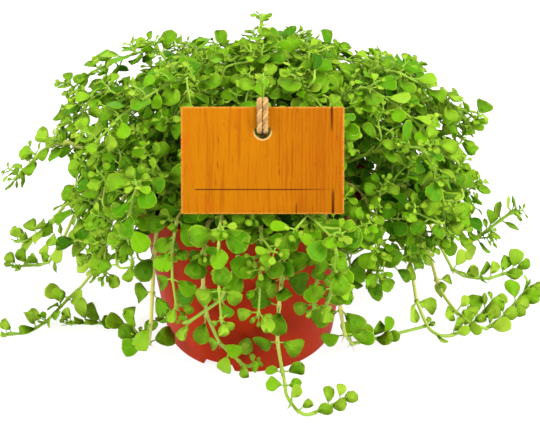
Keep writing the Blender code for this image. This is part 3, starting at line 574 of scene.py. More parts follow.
class Growth:
    """Collects the stems, petioles and leaves of one piece, and then makes their mesh."""

    def __init__(self):
        self.places = []
        self.faces = []
        self.uv = []
        self.tone = []
        self.rim = []
        self.below = []
        self.skin = []
        self.count = 0

    def add(self, places, faces, uv, tone, rim, below, skin):
        """Add a closed shell of either skin: 0 for stems, 1 for leaves."""
        self.faces += [tuple(index + self.count for index in face) for face in faces]
        self.places.append(places)
        self.uv.append(uv)
        self.tone.append(np.broadcast_to(tone, len(places)))
        self.rim.append(rim)
        self.below += below
        self.skin += [skin] * len(faces)
        self.count += len(places)

    def add_tube(self, centres, radii, sides, tones):
        """Add a round stem along a row of points."""
        rows = len(centres)
        ways = np.gradient(centres, axis=0)
        side = np.cross(ways[0], (0.3, 0.2, 1.0) if abs(ways[0][2]) < 0.8 * math.sqrt(ways[0].dot(ways[0]))
                        else (1.0, 0.2, 0.0))
        turns = np.arange(sides) * math.tau / sides
        places = []
        for centre, way, radius in zip(centres, ways, radii):
            way = unit(way)
            side = unit(side - way * side.dot(way))
            other = np.cross(way, side)
            places.append(centre + radius * (np.cos(turns)[:, None] * side + np.sin(turns)[:, None] * other))
        faces = [(row * sides + k, row * sides + (k + 1) % sides,
                  (row + 1) * sides + (k + 1) % sides, (row + 1) * sides + k)
                 for row in range(rows - 1) for k in range(sides)]
        faces.append(tuple(range(sides))[::-1])
        faces.append(tuple(range((rows - 1) * sides, rows * sides)))
        uv = np.column_stack((np.tile(turns, rows), np.repeat(np.arange(rows), sides)))
        self.add(np.vstack(places), faces, uv, np.repeat(tones, sides), np.zeros(rows * sides),
                 [0.0] * len(faces), 0)

    def finish(self, name, materials):
        """Make the mesh and the object."""
        mesh = bpy.data.meshes.new(name)
        mesh.from_pydata(np.vstack(self.places).tolist(), [], self.faces)
        corners = np.empty(len(mesh.loops), int)
        mesh.loops.foreach_get("vertex_index", corners)
        layer = mesh.uv_layers.new(name="along")
        layer.data.foreach_set("uv", np.vstack(self.uv)[corners].ravel())
        for label, domain, values in (("tone", "POINT", np.concatenate(self.tone)),
                                      ("rim", "POINT", np.concatenate(self.rim)),
                                      ("below", "FACE", np.array(self.below, float))):
            mesh.attributes.new(label, "FLOAT", domain).data.foreach_set("value", values)
        mesh.polygons.foreach_set("material_index", self.skin)
        mesh.polygons.foreach_set("use_smooth", [True] * len(self.faces))
        for material in materials:
            mesh.materials.append(material)
        piece = bpy.data.objects.new(name, mesh)
        bpy.context.scene.collection.objects.link(piece)
        return piece


def split_offsets(offsets, facing):
    """How far above a disc's plane points at offsets from its middle are, and how far out in its plane."""
    heights = (offsets * facing).sum(axis=-1)
    return heights, np.linalg.norm(offsets - heights[..., None] * facing, axis=-1)


def crosses(offsets, facing, radius):
    """True if points at offsets from a disc's middle lie in the disc or on both of its sides."""
    heights, level = split_offsets(offsets, facing)
    inside = level < radius
    touching = inside & (abs(heights) < blade_gap)
    above = (inside & (heights > 0)).any(axis=-1)
    under = (inside & (heights < 0)).any(axis=-1)
    return bool(touching.any() or (above & under).any())


blade_gap = 0.0007
stem_gap = 0.0010
holder_gap = 0.0006
edge_margin = 0.0012
disc_turns = np.arange(8) * math.tau / 8


class Crowd:
    """The blades and stems already placed, so that what grows next is kept out of them."""

    disc = np.array([(0.0, 0.0), *((math.sin(turned), math.cos(turned)) for turned in disc_turns)])

    def __init__(self, most=9000, far=9.0):
        self.middles = np.full((most, 3), far)
        self.facings = np.zeros((most, 3))
        self.samples = np.full((most, len(self.disc), 3), far)
        self.radii = np.zeros(most)
        self.count = 0
        self.stems = np.empty((0, 3))

    def shape(self, root, outward, facing, length):
        """A blade's middle, and points on its disc."""
        across = np.cross(outward, facing)
        middle = root + outward * (length / 2)
        spread = self.disc * (length / 2)
        return middle, middle + spread[:, :1] * across + spread[:, 1:] * outward

    def take(self, root, outward, facing, length):
        """Mark a blade's space as taken."""
        middle, samples = self.shape(root, outward, facing, length)
        self.middles[self.count] = middle
        self.facings[self.count] = facing
        self.samples[self.count] = samples
        self.radii[self.count] = length / 2
        self.count += 1

    def has_room(self, root, outward, facing, length):
        """True if a blade would cross no other blade and no stem, and clears what holds the plant."""
        middle, samples = self.shape(root, outward, facing, length)
        if not clear_of_holder(samples, holder_gap) or not within_reach(samples, edge_margin):
            return False
        apart = np.linalg.norm(self.middles[:self.count] - middle, axis=1)
        near = np.flatnonzero(apart < self.radii[:self.count] + length / 2)
        if len(near):
            offsets = samples[None] - self.middles[near][:, None]
            if crosses(offsets, self.facings[near][:, None], self.radii[near][:, None]):
                return False
            offsets = self.samples[near] - middle
            if crosses(offsets, facing, length / 2):
                return False
        close = self.stems[(abs(self.stems - middle) < length * 0.6).all(axis=1)]
        if len(close):
            heights, level = split_offsets(close - middle, facing)
            away = np.linalg.norm(close - root, axis=1) > 1.2 * petiole_length
            if (away & (level < length * 0.47) & (abs(heights) < stem_gap)).any():
                return False
        return True

    def is_pierced(self, points):
        """True if a stem through the points would go through a blade."""
        offsets = points[:, None] - self.middles[:self.count]
        heights, level = split_offsets(offsets, self.facings[:self.count])
        return bool(((level < self.radii[:self.count] * 0.9) & (abs(heights) < 1.1 * stem_gap)).any())


board_from_world = np.array(board_place.inverted())
ground_gap = 0.0004


def clear_of_holder(points, reach):
    """True if the points clear the surface below, the pot, the soil, the board and the view of its face."""
    radius = np.hypot(points[:, 0], points[:, 1])
    height = points[:, 2]
    if (height < reach + ground_gap).any():
        return False
    outer = np.where(height > collar_foot - 0.004, rim_radius, body_radius(height)) + reach + holder_gap
    within = (radius < collar_foot_radius - 0.003) & (height > soil_middle_height + reach)
    if ((height < pot_height + reach) & (radius < outer) & ~within).any():
        return False
    local = points @ board_from_world[:3, :3].T + board_from_world[:3, 3]
    room = np.array(board_size) / 2 + (reach + 0.0005)
    return not ((abs(local[:, 0]) < room[0]) & (local[:, 1] < room[1]) & (abs(local[:, 2]) < room[2])).any()


lowest_corner, highest_corner = (np.array(corner) for corner in cad_box)
top_spare = (0.0, 0.0, 0.0030)


def within_reach(points, margin):
    """True if the points stay in the plant's CAD box, which may only be passed a little at its top."""
    too_low = points[:, :2] < lowest_corner[:2] + margin
    return not (too_low.any() or (points > highest_corner + top_spare - margin).any())


def is_before_pot(point):
    """True where a stem hangs in front of the pot, as seen from the board's side."""
    return point[1] < -0.030 and abs(point[0]) < 0.062


def is_sparse(point):
    """True low down, where stems are bare between leaf pairs, and from higher down before the pot."""
    return point[2] < (0.086 if is_before_pot(point) else 0.052)


crowd = Crowd()
petiole_radius = 0.00042
leaf_bends = {"cup": (-0.18, 0.56), "fold": (-0.05, 0.55), "droop": (-0.16, 0.60), "wave": (0.0, 0.09)}


def lay_blade(growth, foot, root, outward, facing, length, tone, draw):
    """Add a leaf: its petiole from the stem, and a copy of the blade, cupped and bent its own way."""
    size = length / full_length
    young = length < young_length
    shape = young_leaf if young else grown_leaf
    across = np.cross(outward, facing)
    wide = length * full_width / full_length / 2 * draw.uniform(0.88, 1.06) * (young_width if young else 1)
    x = shape.across * wide * (1 + 0.035 * shape.teeth)
    y = shape.along * length + shape.teeth * length * 0.012
    cup, fold, droop, wave = (draw.uniform(*limits) for limits in leaf_bends.values())
    phase = draw.uniform(0, math.tau)
    z = (shape.places[:, 2] * 0.5 * length + length * cup * shape.rho ** 2 * 0.5
         + fold * np.sqrt(x * x + (0.12 * length) ** 2) - droop * shape.along ** 2 * length * 0.5
         + wave * length * shape.rho ** 2 * np.sin(3 * shape.phi + phase))
    z -= z[np.argmin(shape.along)]
    places = root + x[:, None] * across + y[:, None] * outward + z[:, None] * facing
    leaf_uv = np.column_stack((shape.across, shape.along))
    growth.add(places, shape.faces, leaf_uv, tone, shape.rim, shape.below, 1)
    middle = (foot + root) / 2 + facing * length * 0.03
    petiole = smooth_line([foot, middle, root + outward * length * 0.05], 0.0016)
    thick = petiole_radius * (0.5 + 0.5 * size)
    radii = np.linspace(thick * 1.15, thick, len(petiole))
    growth.add_tube(petiole, radii, 4, np.full(len(petiole), 0.60 + 0.4 * tone))


most_upright = 0.30
lying_height = 0.012
least_rise = 0.55
leaf_roll = 34


def aim(point, along, way, size, draw, attempt):
    """The way a leaf grows from its side of a stem, steeper while young, and the way its blade faces."""
    light = toward_light(point)
    outward = way * 0.80 + along * (0.45 + 0.55 * max(1 - size / 0.6, 0.0))
    if way.dot(light) < -0.3:
        outward = outward + light * 0.55
    outward = outward + np.array([draw.uniform(-1, 1) for _ in range(3)]) * (0.12 + 0.09 * attempt)
    upright = outward.dot(light)
    if upright > most_upright:
        outward = outward - light * (upright - most_upright)
    outward = unit(outward)
    if point[2] < lying_height and outward[2] < least_rise:
        outward = unit(outward * (1, 1, 0) + (0.0, 0.0, least_rise + 0.04 * attempt))
    facing = unit(light - outward * light.dot(outward))
    roll = draw.uniform(-1, 1) * math.radians(leaf_roll + 8 * attempt)
    return outward, unit(facing * math.cos(roll) + np.cross(facing, outward) * math.sin(roll))


def grow_pair(growth, line, place, turned, size, tone, draw):
    """Grow the two leaves of a node, each where it finds room."""
    centre = line.at(place)
    along = line.way(place)
    level = np.cross(along, (0.0, 0.0, 1.0))
    if level.dot(level) < 0.01:
        level = np.cross(along, (0.0, 1.0, 0.0))
    level = unit(level)
    side = level * math.cos(turned) + np.cross(along, level) * math.sin(turned)
    has_grown = False
    for way in (side, -side):
        for attempt in range(5):
            length = full_length * size * draw.uniform(0.88, 1.08) * (1 - 0.06 * attempt)
            outward, facing = aim(centre, along, way, size, draw, attempt)
            root = centre + outward * petiole_length * (0.35 + 0.65 * size)
            if crowd.has_room(root, outward, facing, length):
                crowd.take(root, outward, facing, length)
                own_tone = tone + draw.uniform(-0.18, 0.18)
                lay_blade(growth, centre, root, outward, facing, length, own_tone, draw)
                has_grown = True
                break
    if has_grown:
        line.swellings.append(place)


swelling_length = 0.0011


def grow_tube(growth, line, tone_foot, tone_tip):
    """Add a line's own stem, swollen a little where its leaves grow."""
    places = np.linspace(0.0, line.length, len(line.points))
    radii = line.thick + (line.thin - line.thick) * places / line.length
    for swelling in line.swellings:
        radii = radii * (1 + 0.30 * np.exp(-((places - swelling) / swelling_length) ** 2))
    growth.add_tube(line.points, radii, 7, np.linspace(tone_foot, tone_tip, len(places)))


def exposure(point):
    """How far out in the mound a point is, from 0 at its root to 1 at its surface."""
    offset = (point - mound_centre) / (*mound_reach, mound_rise)
    return min(math.sqrt(offset.dot(offset)), 1.0)


toward_window = np.array((0.0, -0.75, 0.50))
trail_radii = (0.00112, 0.00078)
mound_stem_radii = (0.00084, 0.00052)
stem_names = [name for name in sorted(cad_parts) if name not in ("pot", "soil", "name_board", "twine")]
growths = {}
lines = {}
cad_blades = {}
for name in stem_names:
    rings, cad_blades[name] = read_stem(name)
    lines[name] = Line(rings, *(trail_radii if name.startswith("trail") else mound_stem_radii))
    growths[name] = Growth()
    crowd.stems = np.vstack((crowd.stems, lines[name].points))


def settle_blade(root, tip, facing, draw):
    """A CAD blade turned toward the window as far as it finds room, with its space marked as taken."""
    outward = unit(tip - root)
    length = np.linalg.norm(tip - root)
    fullest = draw.uniform(0.05, 0.95)
    for share in (fullest, fullest * 0.6, fullest * 0.3):
        fuller = facing + share * toward_window
        fuller = unit(fuller - outward * fuller.dot(outward))
        if crowd.has_room(root, outward, fuller, length * 1.05):
            facing = fuller
            break
    crowd.take(root, outward, facing, length)
    return root, outward, facing, length


blade_draw = random.Random(5)
for name in stem_names:
    cad_blades[name] = [settle_blade(*blade, blade_draw) for blade in cad_blades[name]]


def grow_rootlets(growth, start, draw):
    """Add the two hair roots of a node that hangs low."""
    for _ in range(2):
        fall = unit(np.array([draw.uniform(-1, 1), draw.uniform(-1, 1), -1.2])) * draw.uniform(0.002, 0.0045)
        bend = start + fall * 0.5 + (0.0, 0.0, ground_gap)
        end = start + fall
        end[2] = max(end[2], ground_gap)
        bend[2] = max(bend[2], ground_gap + 0.0001)
        hair = smooth_line([start, bend, end], 0.001)
        growth.add_tube(hair, np.linspace(0.00016, 0.00008, len(hair)), 3, np.full(len(hair), 0.1))


# The finished leaf of each CAD blade, in its place
for name in stem_names:
    draw = random.Random(name + " leaves")
    line = lines[name]
    for root, outward, facing, length in cad_blades[name]:
        place = line.place_of(root - outward * petiole_length * 0.6)
        young = 1 - min((line.length - place) / 0.030, 1.0)
        outside = min(max((math.hypot(root[0], root[1]) - 0.068) / 0.018, 0.0), 1.0)
        low = min(max((low_height + 0.010 - root[2]) / 0.010, 0.0), 1.0)
        # A leaf's tone: paler for young leaves near the tip and for low leaves out past the pot, and
        # different at random, which is the leaves' own colour; the exposure term makes leaves deeper in the
        # mound darker, which is painted shade.
        tone = (0.24 + 0.35 * young + 0.26 * exposure(root) ** 2 + (0.06 + 0.58 * outside) * low
                + draw.uniform(-0.20, 0.18))
        fitted = length * (0.99 - 0.05 * low)
        lay_blade(growths[name], line.at(place), root, outward, facing, fitted, tone, draw)
        line.swellings.append(place)
        if root[2] < low_height:
            grow_rootlets(growths[name], line.at(place), draw)

tip_length = 0.034
close_pair_gap = 0.0085
wide_pair_gap = 0.019
axil_share = 0.35
axil_share_before_pot = 0.10
axil_shoot_radii = (0.00048, 0.00034)
axil_shoot_pairs = ((0.0006, 0.28), (0.0024, 0.44), (0.0046, 0.62))
tip_pairs = ((0.0022, 0.42), (0.0006, 0.28))


def grow_between(growth, line, pairs, draw):
    """Grow one or two more pairs between a stem's leaf pairs, where the stem isn't bare."""
    for number, (low, high) in enumerate(zip(pairs, pairs[1:])):
        node = line.at(high)
        near_tip = line.length - high < tip_length and (node[2] < lying_height or not is_before_pot(node))
        if high - low <= close_pair_gap or not (near_tip or not is_sparse(node)):
            continue
        parts = 3 if high - low > wide_pair_gap else 2
        for part in range(1, parts):
            place = low + (high - low) * part / parts
            # Leaves deeper in the mound get a darker tone, which is painted shade; near the tip they are
            # paler, as young leaves.
            tone = 0.22 + 0.28 * exposure(line.at(place)) ** 2 + 0.34 * near_tip
            turned = (number + part) * math.pi / 2
            grow_pair(growth, line, place, turned, draw.uniform(0.62, 0.95), tone, draw)


def grow_axil_shoot(growth, line, place, draw):
    """Grow a short upright shoot with a rosette from a leaf pair at the mound's surface, if it has room."""
    node = line.at(place)
    light = toward_light(node)
    aside = unit(np.cross(line.way(place), light)) * draw.choice((-1, 1))
    tall = draw.uniform(0.0045, 0.0085)
    bend = node + light * tall * 0.5 + aside * tall * 0.15
    end = node + light * tall + aside * tall * 0.45 + line.way(place) * tall * 0.3
    shoot = Line([node, bend, end], *axil_shoot_radii)
    if not within_reach(shoot.points, 0.0025) or not clear_of_holder(shoot.points[1:], 0.001):
        return
    if crowd.is_pierced(shoot.points[2:]):
        return
    crowd.stems = np.vstack((crowd.stems, shoot.points))
    turned = draw.uniform(0, math.pi)
    for number, (back, size) in enumerate(axil_shoot_pairs):
        if shoot.length - back > 0.001:
            grow_pair(growth, shoot, shoot.length - back, turned + number * math.pi / 2, size,
                      1.0 - 0.12 * number, draw)
    grow_tube(growth, shoot, 0.8, 1.0)


# What grows between the leaf pairs of each stem, in their axils and at its tip
for name in stem_names:
    draw = random.Random(name + " between")
    line = lines[name]
    growth = growths[name]
    pairs = sorted({round(place, 3) for place in line.swellings})
    grow_between(growth, line, pairs, draw)
    for place in pairs:
        node = line.at(place)
        share = axil_share_before_pot if is_before_pot(node) else axil_share
        if not is_sparse(node) or draw.random() < share:
            # Leaves deeper in the mound get a darker tone, which is painted shade.
            tone = 0.35 + 0.45 * exposure(node) ** 2
            turned = draw.uniform(0, math.pi)
            grow_pair(growth, line, place + 0.0014, turned, draw.uniform(0.30, 0.46), tone, draw)
    for back, size in tip_pairs:
        grow_pair(growth, line, line.length - back, draw.uniform(0, math.pi), size, 1.0, draw)
    for place in pairs:
        if not is_sparse(line.at(place)) and exposure(line.at(place)) >= 0.75:
            grow_axil_shoot(growth, line, place, draw)


def mound_point(azimuth, height_share, reach):
    """A point on the mound's surface, or within it where the reach is less than 1."""
    level = math.sqrt(1 - height_share * height_share) ** mound_squareness * reach
    tall = mound_rise if height_share > 0 else mound_drop
    up = math.copysign(abs(height_share) ** mound_squareness, height_share) * tall
    if height_share > 0:
        up *= (1 - (1 - reach) * 0.8) * (1 - mound_back_fall * max(level * math.sin(azimuth), 0.0))
    return mound_centre + (mound_reach[0] * level * math.cos(azimuth),
                           mound_reach[1] * level * math.sin(azimuth), up)


shoot_reach = 0.021
nearest_foot = 0.009


def branch_from(target, used):
    """The stem that a side shoot to the target grows from best, with its cost and the place on it."""
    best = None
    inward = -toward_light(target)
    for name in stem_names:
        line = lines[name]
        offsets = line.points - target
        apart = np.linalg.norm(offsets, axis=1)
        in_pot = ((line.points[:, 2] < soil_middle_height + 0.004)
                  * (np.hypot(line.points[:, 0], line.points[:, 1]) < rim_radius))
        cost = (abs(apart - shoot_reach) + 0.010 * (offsets @ inward / apart < 0.25)
                + 0.5 * (apart < nearest_foot) + 0.5 * in_pot)
        for place in used[name]:
            cost = cost + 0.006 * (abs(np.arange(len(apart)) * line.step - place) < 0.004)
        index = int(np.argmin(cost))
        if best is None or cost[index] < best[0]:
            best = (cost[index], name, index * line.step)
    return best


# Side shoots: each grows from a near stem to its own place in the mound. A layer of them has its number,
# the heights of its first and last as shares of the mound's, its reach, and the first one's azimuth.
shoot_layers = ((24, 0.998, 0.972, 1.09, 5.2), (400, 0.99, -0.42, 0.99, 0.0), (290, 0.98, -0.30, 0.87, 1.1),
                (180, 0.96, -0.10, 0.74, 2.3), (70, 0.94, 0.10, 0.54, 3.1), (80, 0.22, -0.25, 0.62, 4.3))
golden_angle = math.radians(137.508)
highest_cost = 0.024
shoot_radii = (0.00060, 0.00038)
shoot_pairs = ((0.0, 0.30), (0.0022, 0.48), (0.0036, 0.72), (0.0052, 0.88), (0.0064, 0.95), (0.0072, 1.0),
               (0.0075, 1.0))
used = {name: [] for name in stem_names}
shoot_draw = random.Random(77)
for count, top, bottom, reach, start in shoot_layers:
    for number in range(count):
        share = (number + 0.5) / count
        small = shoot_draw.uniform(0.74, 1.0)
        azimuth = number * golden_angle + start
        height_share = top + (bottom - top) * share ** 1.2
        target = mound_point(azimuth, height_share, reach * shoot_draw.uniform(0.95, 1.03))
        cost, name, place = branch_from(target, used)
        if cost > highest_cost or is_sparse(target) or not clear_of_holder(target[None, :], 0.002):
            continue
        parent = lines[name]
        foot = parent.at(place)
        light = toward_light(target)
        apart = np.linalg.norm(target - foot)
        straight = unit(target - foot)
        leave = foot + unit(parent.way(place) * 0.6 + light * 0.5 + straight * 0.6) * apart * 0.35
        arrive = target - unit(light + straight) * apart * 0.35
        shoot = Line([foot, leave, arrive, target], *shoot_radii)
        if not clear_of_holder(shoot.points[2:], 0.001) or crowd.is_pierced(shoot.points[3:]):
            continue
        used[name].append(place)
        crowd.stems = np.vstack((crowd.stems, shoot.points))
        turned = shoot_draw.uniform(0, math.pi)
        back = 0.0007
        for pair, (gap, size) in enumerate(shoot_pairs):
            back += gap * small
            if shoot.length - back < 0.004:
                break
            # Older pairs are darker, as older leaves; a shoot that ends deeper in the mound has its leaves
            # painted darker, which is painted shade.
            tone = 1.0 - 0.15 * pair - 0.55 * (1 - exposure(target))
            grow_pair(growths[name], shoot, shoot.length - back, turned + pair * math.pi / 2,
                      size * small * 0.95, tone, shoot_draw)
        grow_tube(growths[name], shoot, 0.72, 1.0)

leaf = Finish("leaf_blade", {"Specular IOR Level": 0.05})
leaf_tone_and_shade, leaf_edge, leaf_under = (leaf.own(label) for label in ("tone", "rim", "below"))
leaf_map = leaf.node("UVMap", {"uv_map": "along"})
across, along = (leaf_map.part(axis) for axis in (0, 1))
midrib = abs(across).step(0.10, 0.015) * along.step(0.98, 0.70)
rib_place = along * 5.2 - abs(across) * 2.4
ribs = rib_place.maths("PINGPONG", rib_place, 0.5).step(0.10, 0.0) * abs(across).step(0.95, 0.5)
blotches = leaf.clouds(leaf.place, 260.0, 3.0)
pores = leaf.clouds(leaf.place, 4200.0, 2.0)
# The green runs from the dark green of low tones, which is painted shade on leaves deep in the mound, to the
# yellow-green of young leaves.
green = leaf.node("ValToRGB", {"stops": (
    (0.0, (0.012, 0.080, 0.0006)), (0.35, (0.055, 0.200, 0.001)), (0.65, (0.140, 0.340, 0.003)),
    (1.0, (0.270, 0.425, 0.026)))}, {0: leaf_tone_and_shade + 0.22 * (blotches - 0.5)})
pale = (0.38, 0.56, 0.022)
underside = (0.17, 0.33, 0.015)
veined = (0.10 * midrib + 0.05 * ribs).mix(green, pale)
# A pale band round each blade's rim: partly the leaf's own paler margin, partly a painted highlight that
# stands in for the blade's sheen.
pale_rim_with_sheen = (0.56 * leaf_edge.step(0.76, 1.0)).mix(veined, pale)
leaf.wear({
    "Base Color": (0.40 * leaf_under).mix(pale_rim_with_sheen, underside),
    "Roughness": 0.36 + 0.16 * blotches + 0.15 * leaf_under,
    "Normal": leaf.relief(0.6 * (1 - midrib) + 0.25 * (1 - ribs) + 0.15 * pores, 0.00016),
})

skin = Finish("stem_skin", {"Specular IOR Level": 0.25})
stem_flecks = skin.clouds(skin.place, 900.0, 3.0)
skin.wear({
    "Base Color": skin.node("ValToRGB", {"stops": (
        (0.0, (0.24, 0.17, 0.045)), (0.15, (0.40, 0.37, 0.080)), (0.45, (0.56, 0.54, 0.125)),
        (0.72, (0.29, 0.44, 0.035)), (1.0, (0.20, 0.38, 0.018)))},
        {0: skin.own("tone") + 0.25 * (stem_flecks - 0.5)}),
    "Roughness": 0.40 + 0.15 * stem_flecks,
    "Normal": skin.relief(stem_flecks, 0.00008),
})

for name in stem_names:
    foot_tone = 0.0 if name.startswith(("trail", "skirt")) else 0.74
    grow_tube(growths[name], lines[name], foot_tone, 0.95)
    piece = growths[name].finish("leafy_" + name, (skin.material, leaf.material))
    hand_over(piece, "leaf_green", name)


# Name board
# A small plank of orange-stained softwood, sawn, lightly sanded and bare, with a drilled hole. Its edges
# are rubbed pale, and it has dried into fine splits along the grain.
bpy.ops.object.select_all(action="DESELECT")
bpy.ops.mesh.primitive_cube_add(size=1, location=(0, 0, 0), scale=board_size)
board = bpy.context.object
board.name = "wooden_board"
bpy.ops.object.transform_apply()
board_edge_round = 0.00045
half_width, half_thickness, half_height = (side / 2 for side in board_size)
hole_height = half_height - 0.0104
hole_radius = 0.0034
ease_edges(board, math.radians(60), board_edge_round)
bpy.ops.mesh.primitive_cylinder_add(vertices=56, radius=hole_radius, depth=4 * board_size[1],
                                    location=(0, 0, hole_height), rotation=(math.pi / 2, 0, 0))
board_cutters = [bpy.context.object]
# Each split's place across the board, 1 for the top end or -1 for the lower one, its length and its width
splits = ((0.0298, 1, 0.0105, 0.00042), (0.0304, -1, 0.0112, 0.00055), (0.0146, -1, 0.0050, 0.00022))
for split_x, end, length, width in splits:
    bpy.ops.mesh.primitive_cone_add(vertices=4, radius1=width, radius2=0.0, depth=length,
                                    location=(split_x, -half_thickness, end * (half_height - length / 2)),
                                    rotation=(0 if end < 0 else math.pi, 0, 0))
    bpy.context.object.scale = (1, 3, 1)
    board_cutters.append(bpy.context.object)
cut(board, board_cutters)
shade(board, math.radians(30))
board.data.transform(board_place)
board.data.update()

wood = Finish("stained_wood", {"Specular IOR Level": 0.04})
local = wood.node("Mapping", {"vector_type": "TEXTURE"},
                  {0: wood.place, 1: tuple(board_centre), 2: (board_lean, 0, 0)})
local_x, local_y, local_z = (local.part(axis) for axis in range(3))
bend = wood.clouds(local, 38.0, 2.0) * 0.0024 + wood.clouds(local, 260.0, 2.0) * 0.0004
grain_x = local_x + bend


def along_grain(share):
    """The place in the wood, with its height scaled down so that a pattern is drawn out along the grain."""
    return wood.node("CombineXYZ", None, {0: grain_x, 1: local_y, 2: local_z * share})


grain = along_grain(0.030)
drift = wood.clouds(along_grain(0.30), 60.0, 2.0)
bands = wood.clouds(grain, 380.0, 3.0, 0.6)
streaks = wood.clouds(grain, 1050.0, 2.0, 0.55)
fibres = wood.clouds(along_grain(0.06), 2700.0, 2.0, 0.6)
stain = wood.clouds(local, 75.0, 4.0, 0.6)
flecks = wood.clouds(local.scaled((1.0, 0.5, 0.16)), 900.0, 2.0).step(0.66, 0.76)
side_edge = abs(local_x).step(half_width - 0.0012, half_width - 0.0002)
end_edge = abs(local_z).step(half_height - 0.0011, half_height - 0.0002)
rubbed = side_edge.maths("MAXIMUM", side_edge, end_edge) * wood.clouds(local, 900.0, 3.0).step(0.30, 0.55)
deeper = drift * 0.5 + bands * 0.3 + local_x.step(-0.004, 0.024) * 0.2
tan = deeper.step(0.30, 0.72).mix((0.380, 0.128, 0.0003), (0.330, 0.099, 0.0003))
streaked = (0.58 * streaks.step(0.50, 0.66)).mix(tan, (0.275, 0.062, 0.0004))
lined = (0.46 * fibres.step(0.52, 0.74)).mix(streaked, (0.245, 0.052, 0.0005))
ring_place = grain_x * 620.0 + 0.9 * wood.clouds(grain, 150.0, 1.0)
ring_lines = ring_place.maths("PINGPONG", ring_place, 0.5).step(0.26, 0.04) * local_x.step(0.0, 0.018)
ring_patches = wood.clouds(local, 140.0, 2.0).step(0.30, 0.60)
striped = (0.42 * ring_lines * ring_patches).mix(lined, (0.230, 0.048, 0.0006))
near_side = abs(local_x).step(0.025, 0.035)
by_edge = near_side.maths("MAXIMUM", near_side, abs(local_z).step(0.016, 0.023))
reddish = (0.55 * stain.step(0.50, 0.74) * (0.25 + 0.75 * by_edge)).mix(striped, (0.40, 0.066, 0.001))
speckled = (0.55 * flecks).mix(reddish, (0.14, 0.026, 0.002))
resin_x = 0.0142
resin = abs(grain_x - resin_x).step(0.00045, 0.00010) * abs(local_z - 0.0010).step(0.0100, 0.0060)
dark_grain = (0.55 * resin).mix(speckled, (0.20, 0.045, 0.001))
line_height = -0.0125
line_half_length = 0.0290
burnt = (abs(local_z - line_height).step(0.00034, 0.00014)
         * abs(local_x).step(line_half_length + 0.0004, line_half_length))
# Dark lines along the splits, drawn on past their cut ends: painted shade in the cracks.
split_wander = local_x + 0.0007 * (wood.clouds(local, 420.0, 2.0) - 0.5)
split_painted_shade = 0.0
for split_x, end, length, width in splits:
    beside_split = abs(split_wander - split_x).step(2.2 * width, 0.3 * width)
    split_painted_shade = split_painted_shade + beside_split * (local_z * end).step(half_height - 1.15 * length,
                                                                    half_height - 0.75 * length)
split_dark = (0.75 * split_painted_shade).mix(dark_grain, (0.085, 0.016, 0.002))
burnt_in = (0.90 * burnt * local_x.step(0.034, 0.012)).mix(split_dark, (0.050, 0.008, 0.003))
face_place = wood.node("CombineXYZ", None, {0: local_x, 2: local_z})
hole_away = wood.node("VectorMath", {"operation": "DISTANCE"}, {0: face_place, 1: (0, 0, hole_height)}, 1)
# A pale band round the lower half of the hole: a painted highlight where its lower lip catches the light.
hole_lip_highlight = (hole_away.step(hole_radius + 0.0010, hole_radius + 0.0005)
            * local_z.step(hole_height + 0.0010, hole_height - 0.0012))
worn = (0.60 * rubbed).mix(burnt_in, (0.52, 0.25, 0.04))
lip_highlighted = (0.72 * hole_lip_highlight).mix(worn, (0.62, 0.40, 0.16))
# The hole's wall is painted dark: painted shade inside the hole.
hole_wall_shade = hole_away.step(hole_radius + 0.0002, hole_radius)
wood.wear({
    "Base Color": (0.7 * hole_wall_shade).mix(lip_highlighted, (0.12, 0.030, 0.008)),
    "Roughness": 0.48 + 0.22 * fibres,
    "Normal": wood.relief(0.3 * bands + 0.4 * fibres - 0.3 * streaks - 0.5 * burnt, 0.00022),
})
board.data.materials.append(wood.material)
hand_over(board, "board_wood", "name_board")


# Twine
# Natural jute of three plies, tied in one loop: up through the board's hole, over its top edge, round the
# carrier stem and back, with its knot behind the hole.
twine_radius = 0.0013
strand_offset = 0.00125
knot_radius = 0.0033
twine_gap = 0.0003
twine_lay = 0.0058
ply_share = 0.56
carrier = Vector((0.0077, -0.0384, 0.1455))
carrier_radius = 0.00112
carrier_clear = carrier_radius + twine_radius + twine_gap


def loop_points():
    """The loop's route: one strand up the board's face, round the stem, and the other strand back."""
    face = half_thickness + twine_radius + twine_gap
    top = half_height + twine_radius + twine_gap
    climb = (
        (strand_offset * 0.9, face + 0.0030, hole_height),
        (strand_offset, 0.0, hole_height),
        (strand_offset, -face + 0.0002, hole_height + 0.0006),
        (strand_offset, -face - 0.0004, hole_height + 0.0040),
        (strand_offset, -face, hole_height + 0.0085),
        (strand_offset, -face + 0.0002, top - 0.0006),
        (strand_offset, -0.0002, top + 0.0012),
    )
    behind = (
        (carrier_clear * 0.75, -0.0055, 0.0012),
        (carrier_clear * 1.02, 0.0, 0.0),
        (carrier_clear * 0.72, carrier_clear * 0.76, 0.0),
        (0.0, carrier_clear * 1.04, 0.0),
    )
    right = [board_place @ Vector(point) for point in climb] + [carrier + Vector(point) for point in behind]
    left = [Vector((2 * board_centre.x - point.x, point.y, point.z)) for point in reversed(right[:-1])]
    return [np.array(point) for point in right + left]


def lay_plies(growth, route, radius, tones):
    """Lay the plies of a twine round its route, each a closed tube of its own tone."""
    ways = np.gradient(route, axis=0)
    side = np.cross(ways[0], (0.0, 0.3, 1.0))
    ply_radius = radius * ply_share
    run = np.concatenate(([0.0], np.cumsum(np.linalg.norm(np.diff(route, axis=0), axis=1))))
    sides = []
    for way in ways:
        way = unit(way)
        side = unit(side - way * side.dot(way))
        sides.append((side, np.cross(way, side)))
    for ply, tone in enumerate(tones):
        turns = run / twine_lay * math.tau + ply * math.tau / len(tones)
        offsets = [(first * math.cos(turned) + second * math.sin(turned)) * (radius - ply_radius)
                   for (first, second), turned in zip(sides, turns)]
        growth.add_tube(route + np.array(offsets), np.full(len(route), ply_radius), 8,
                        np.full(len(route), tone))


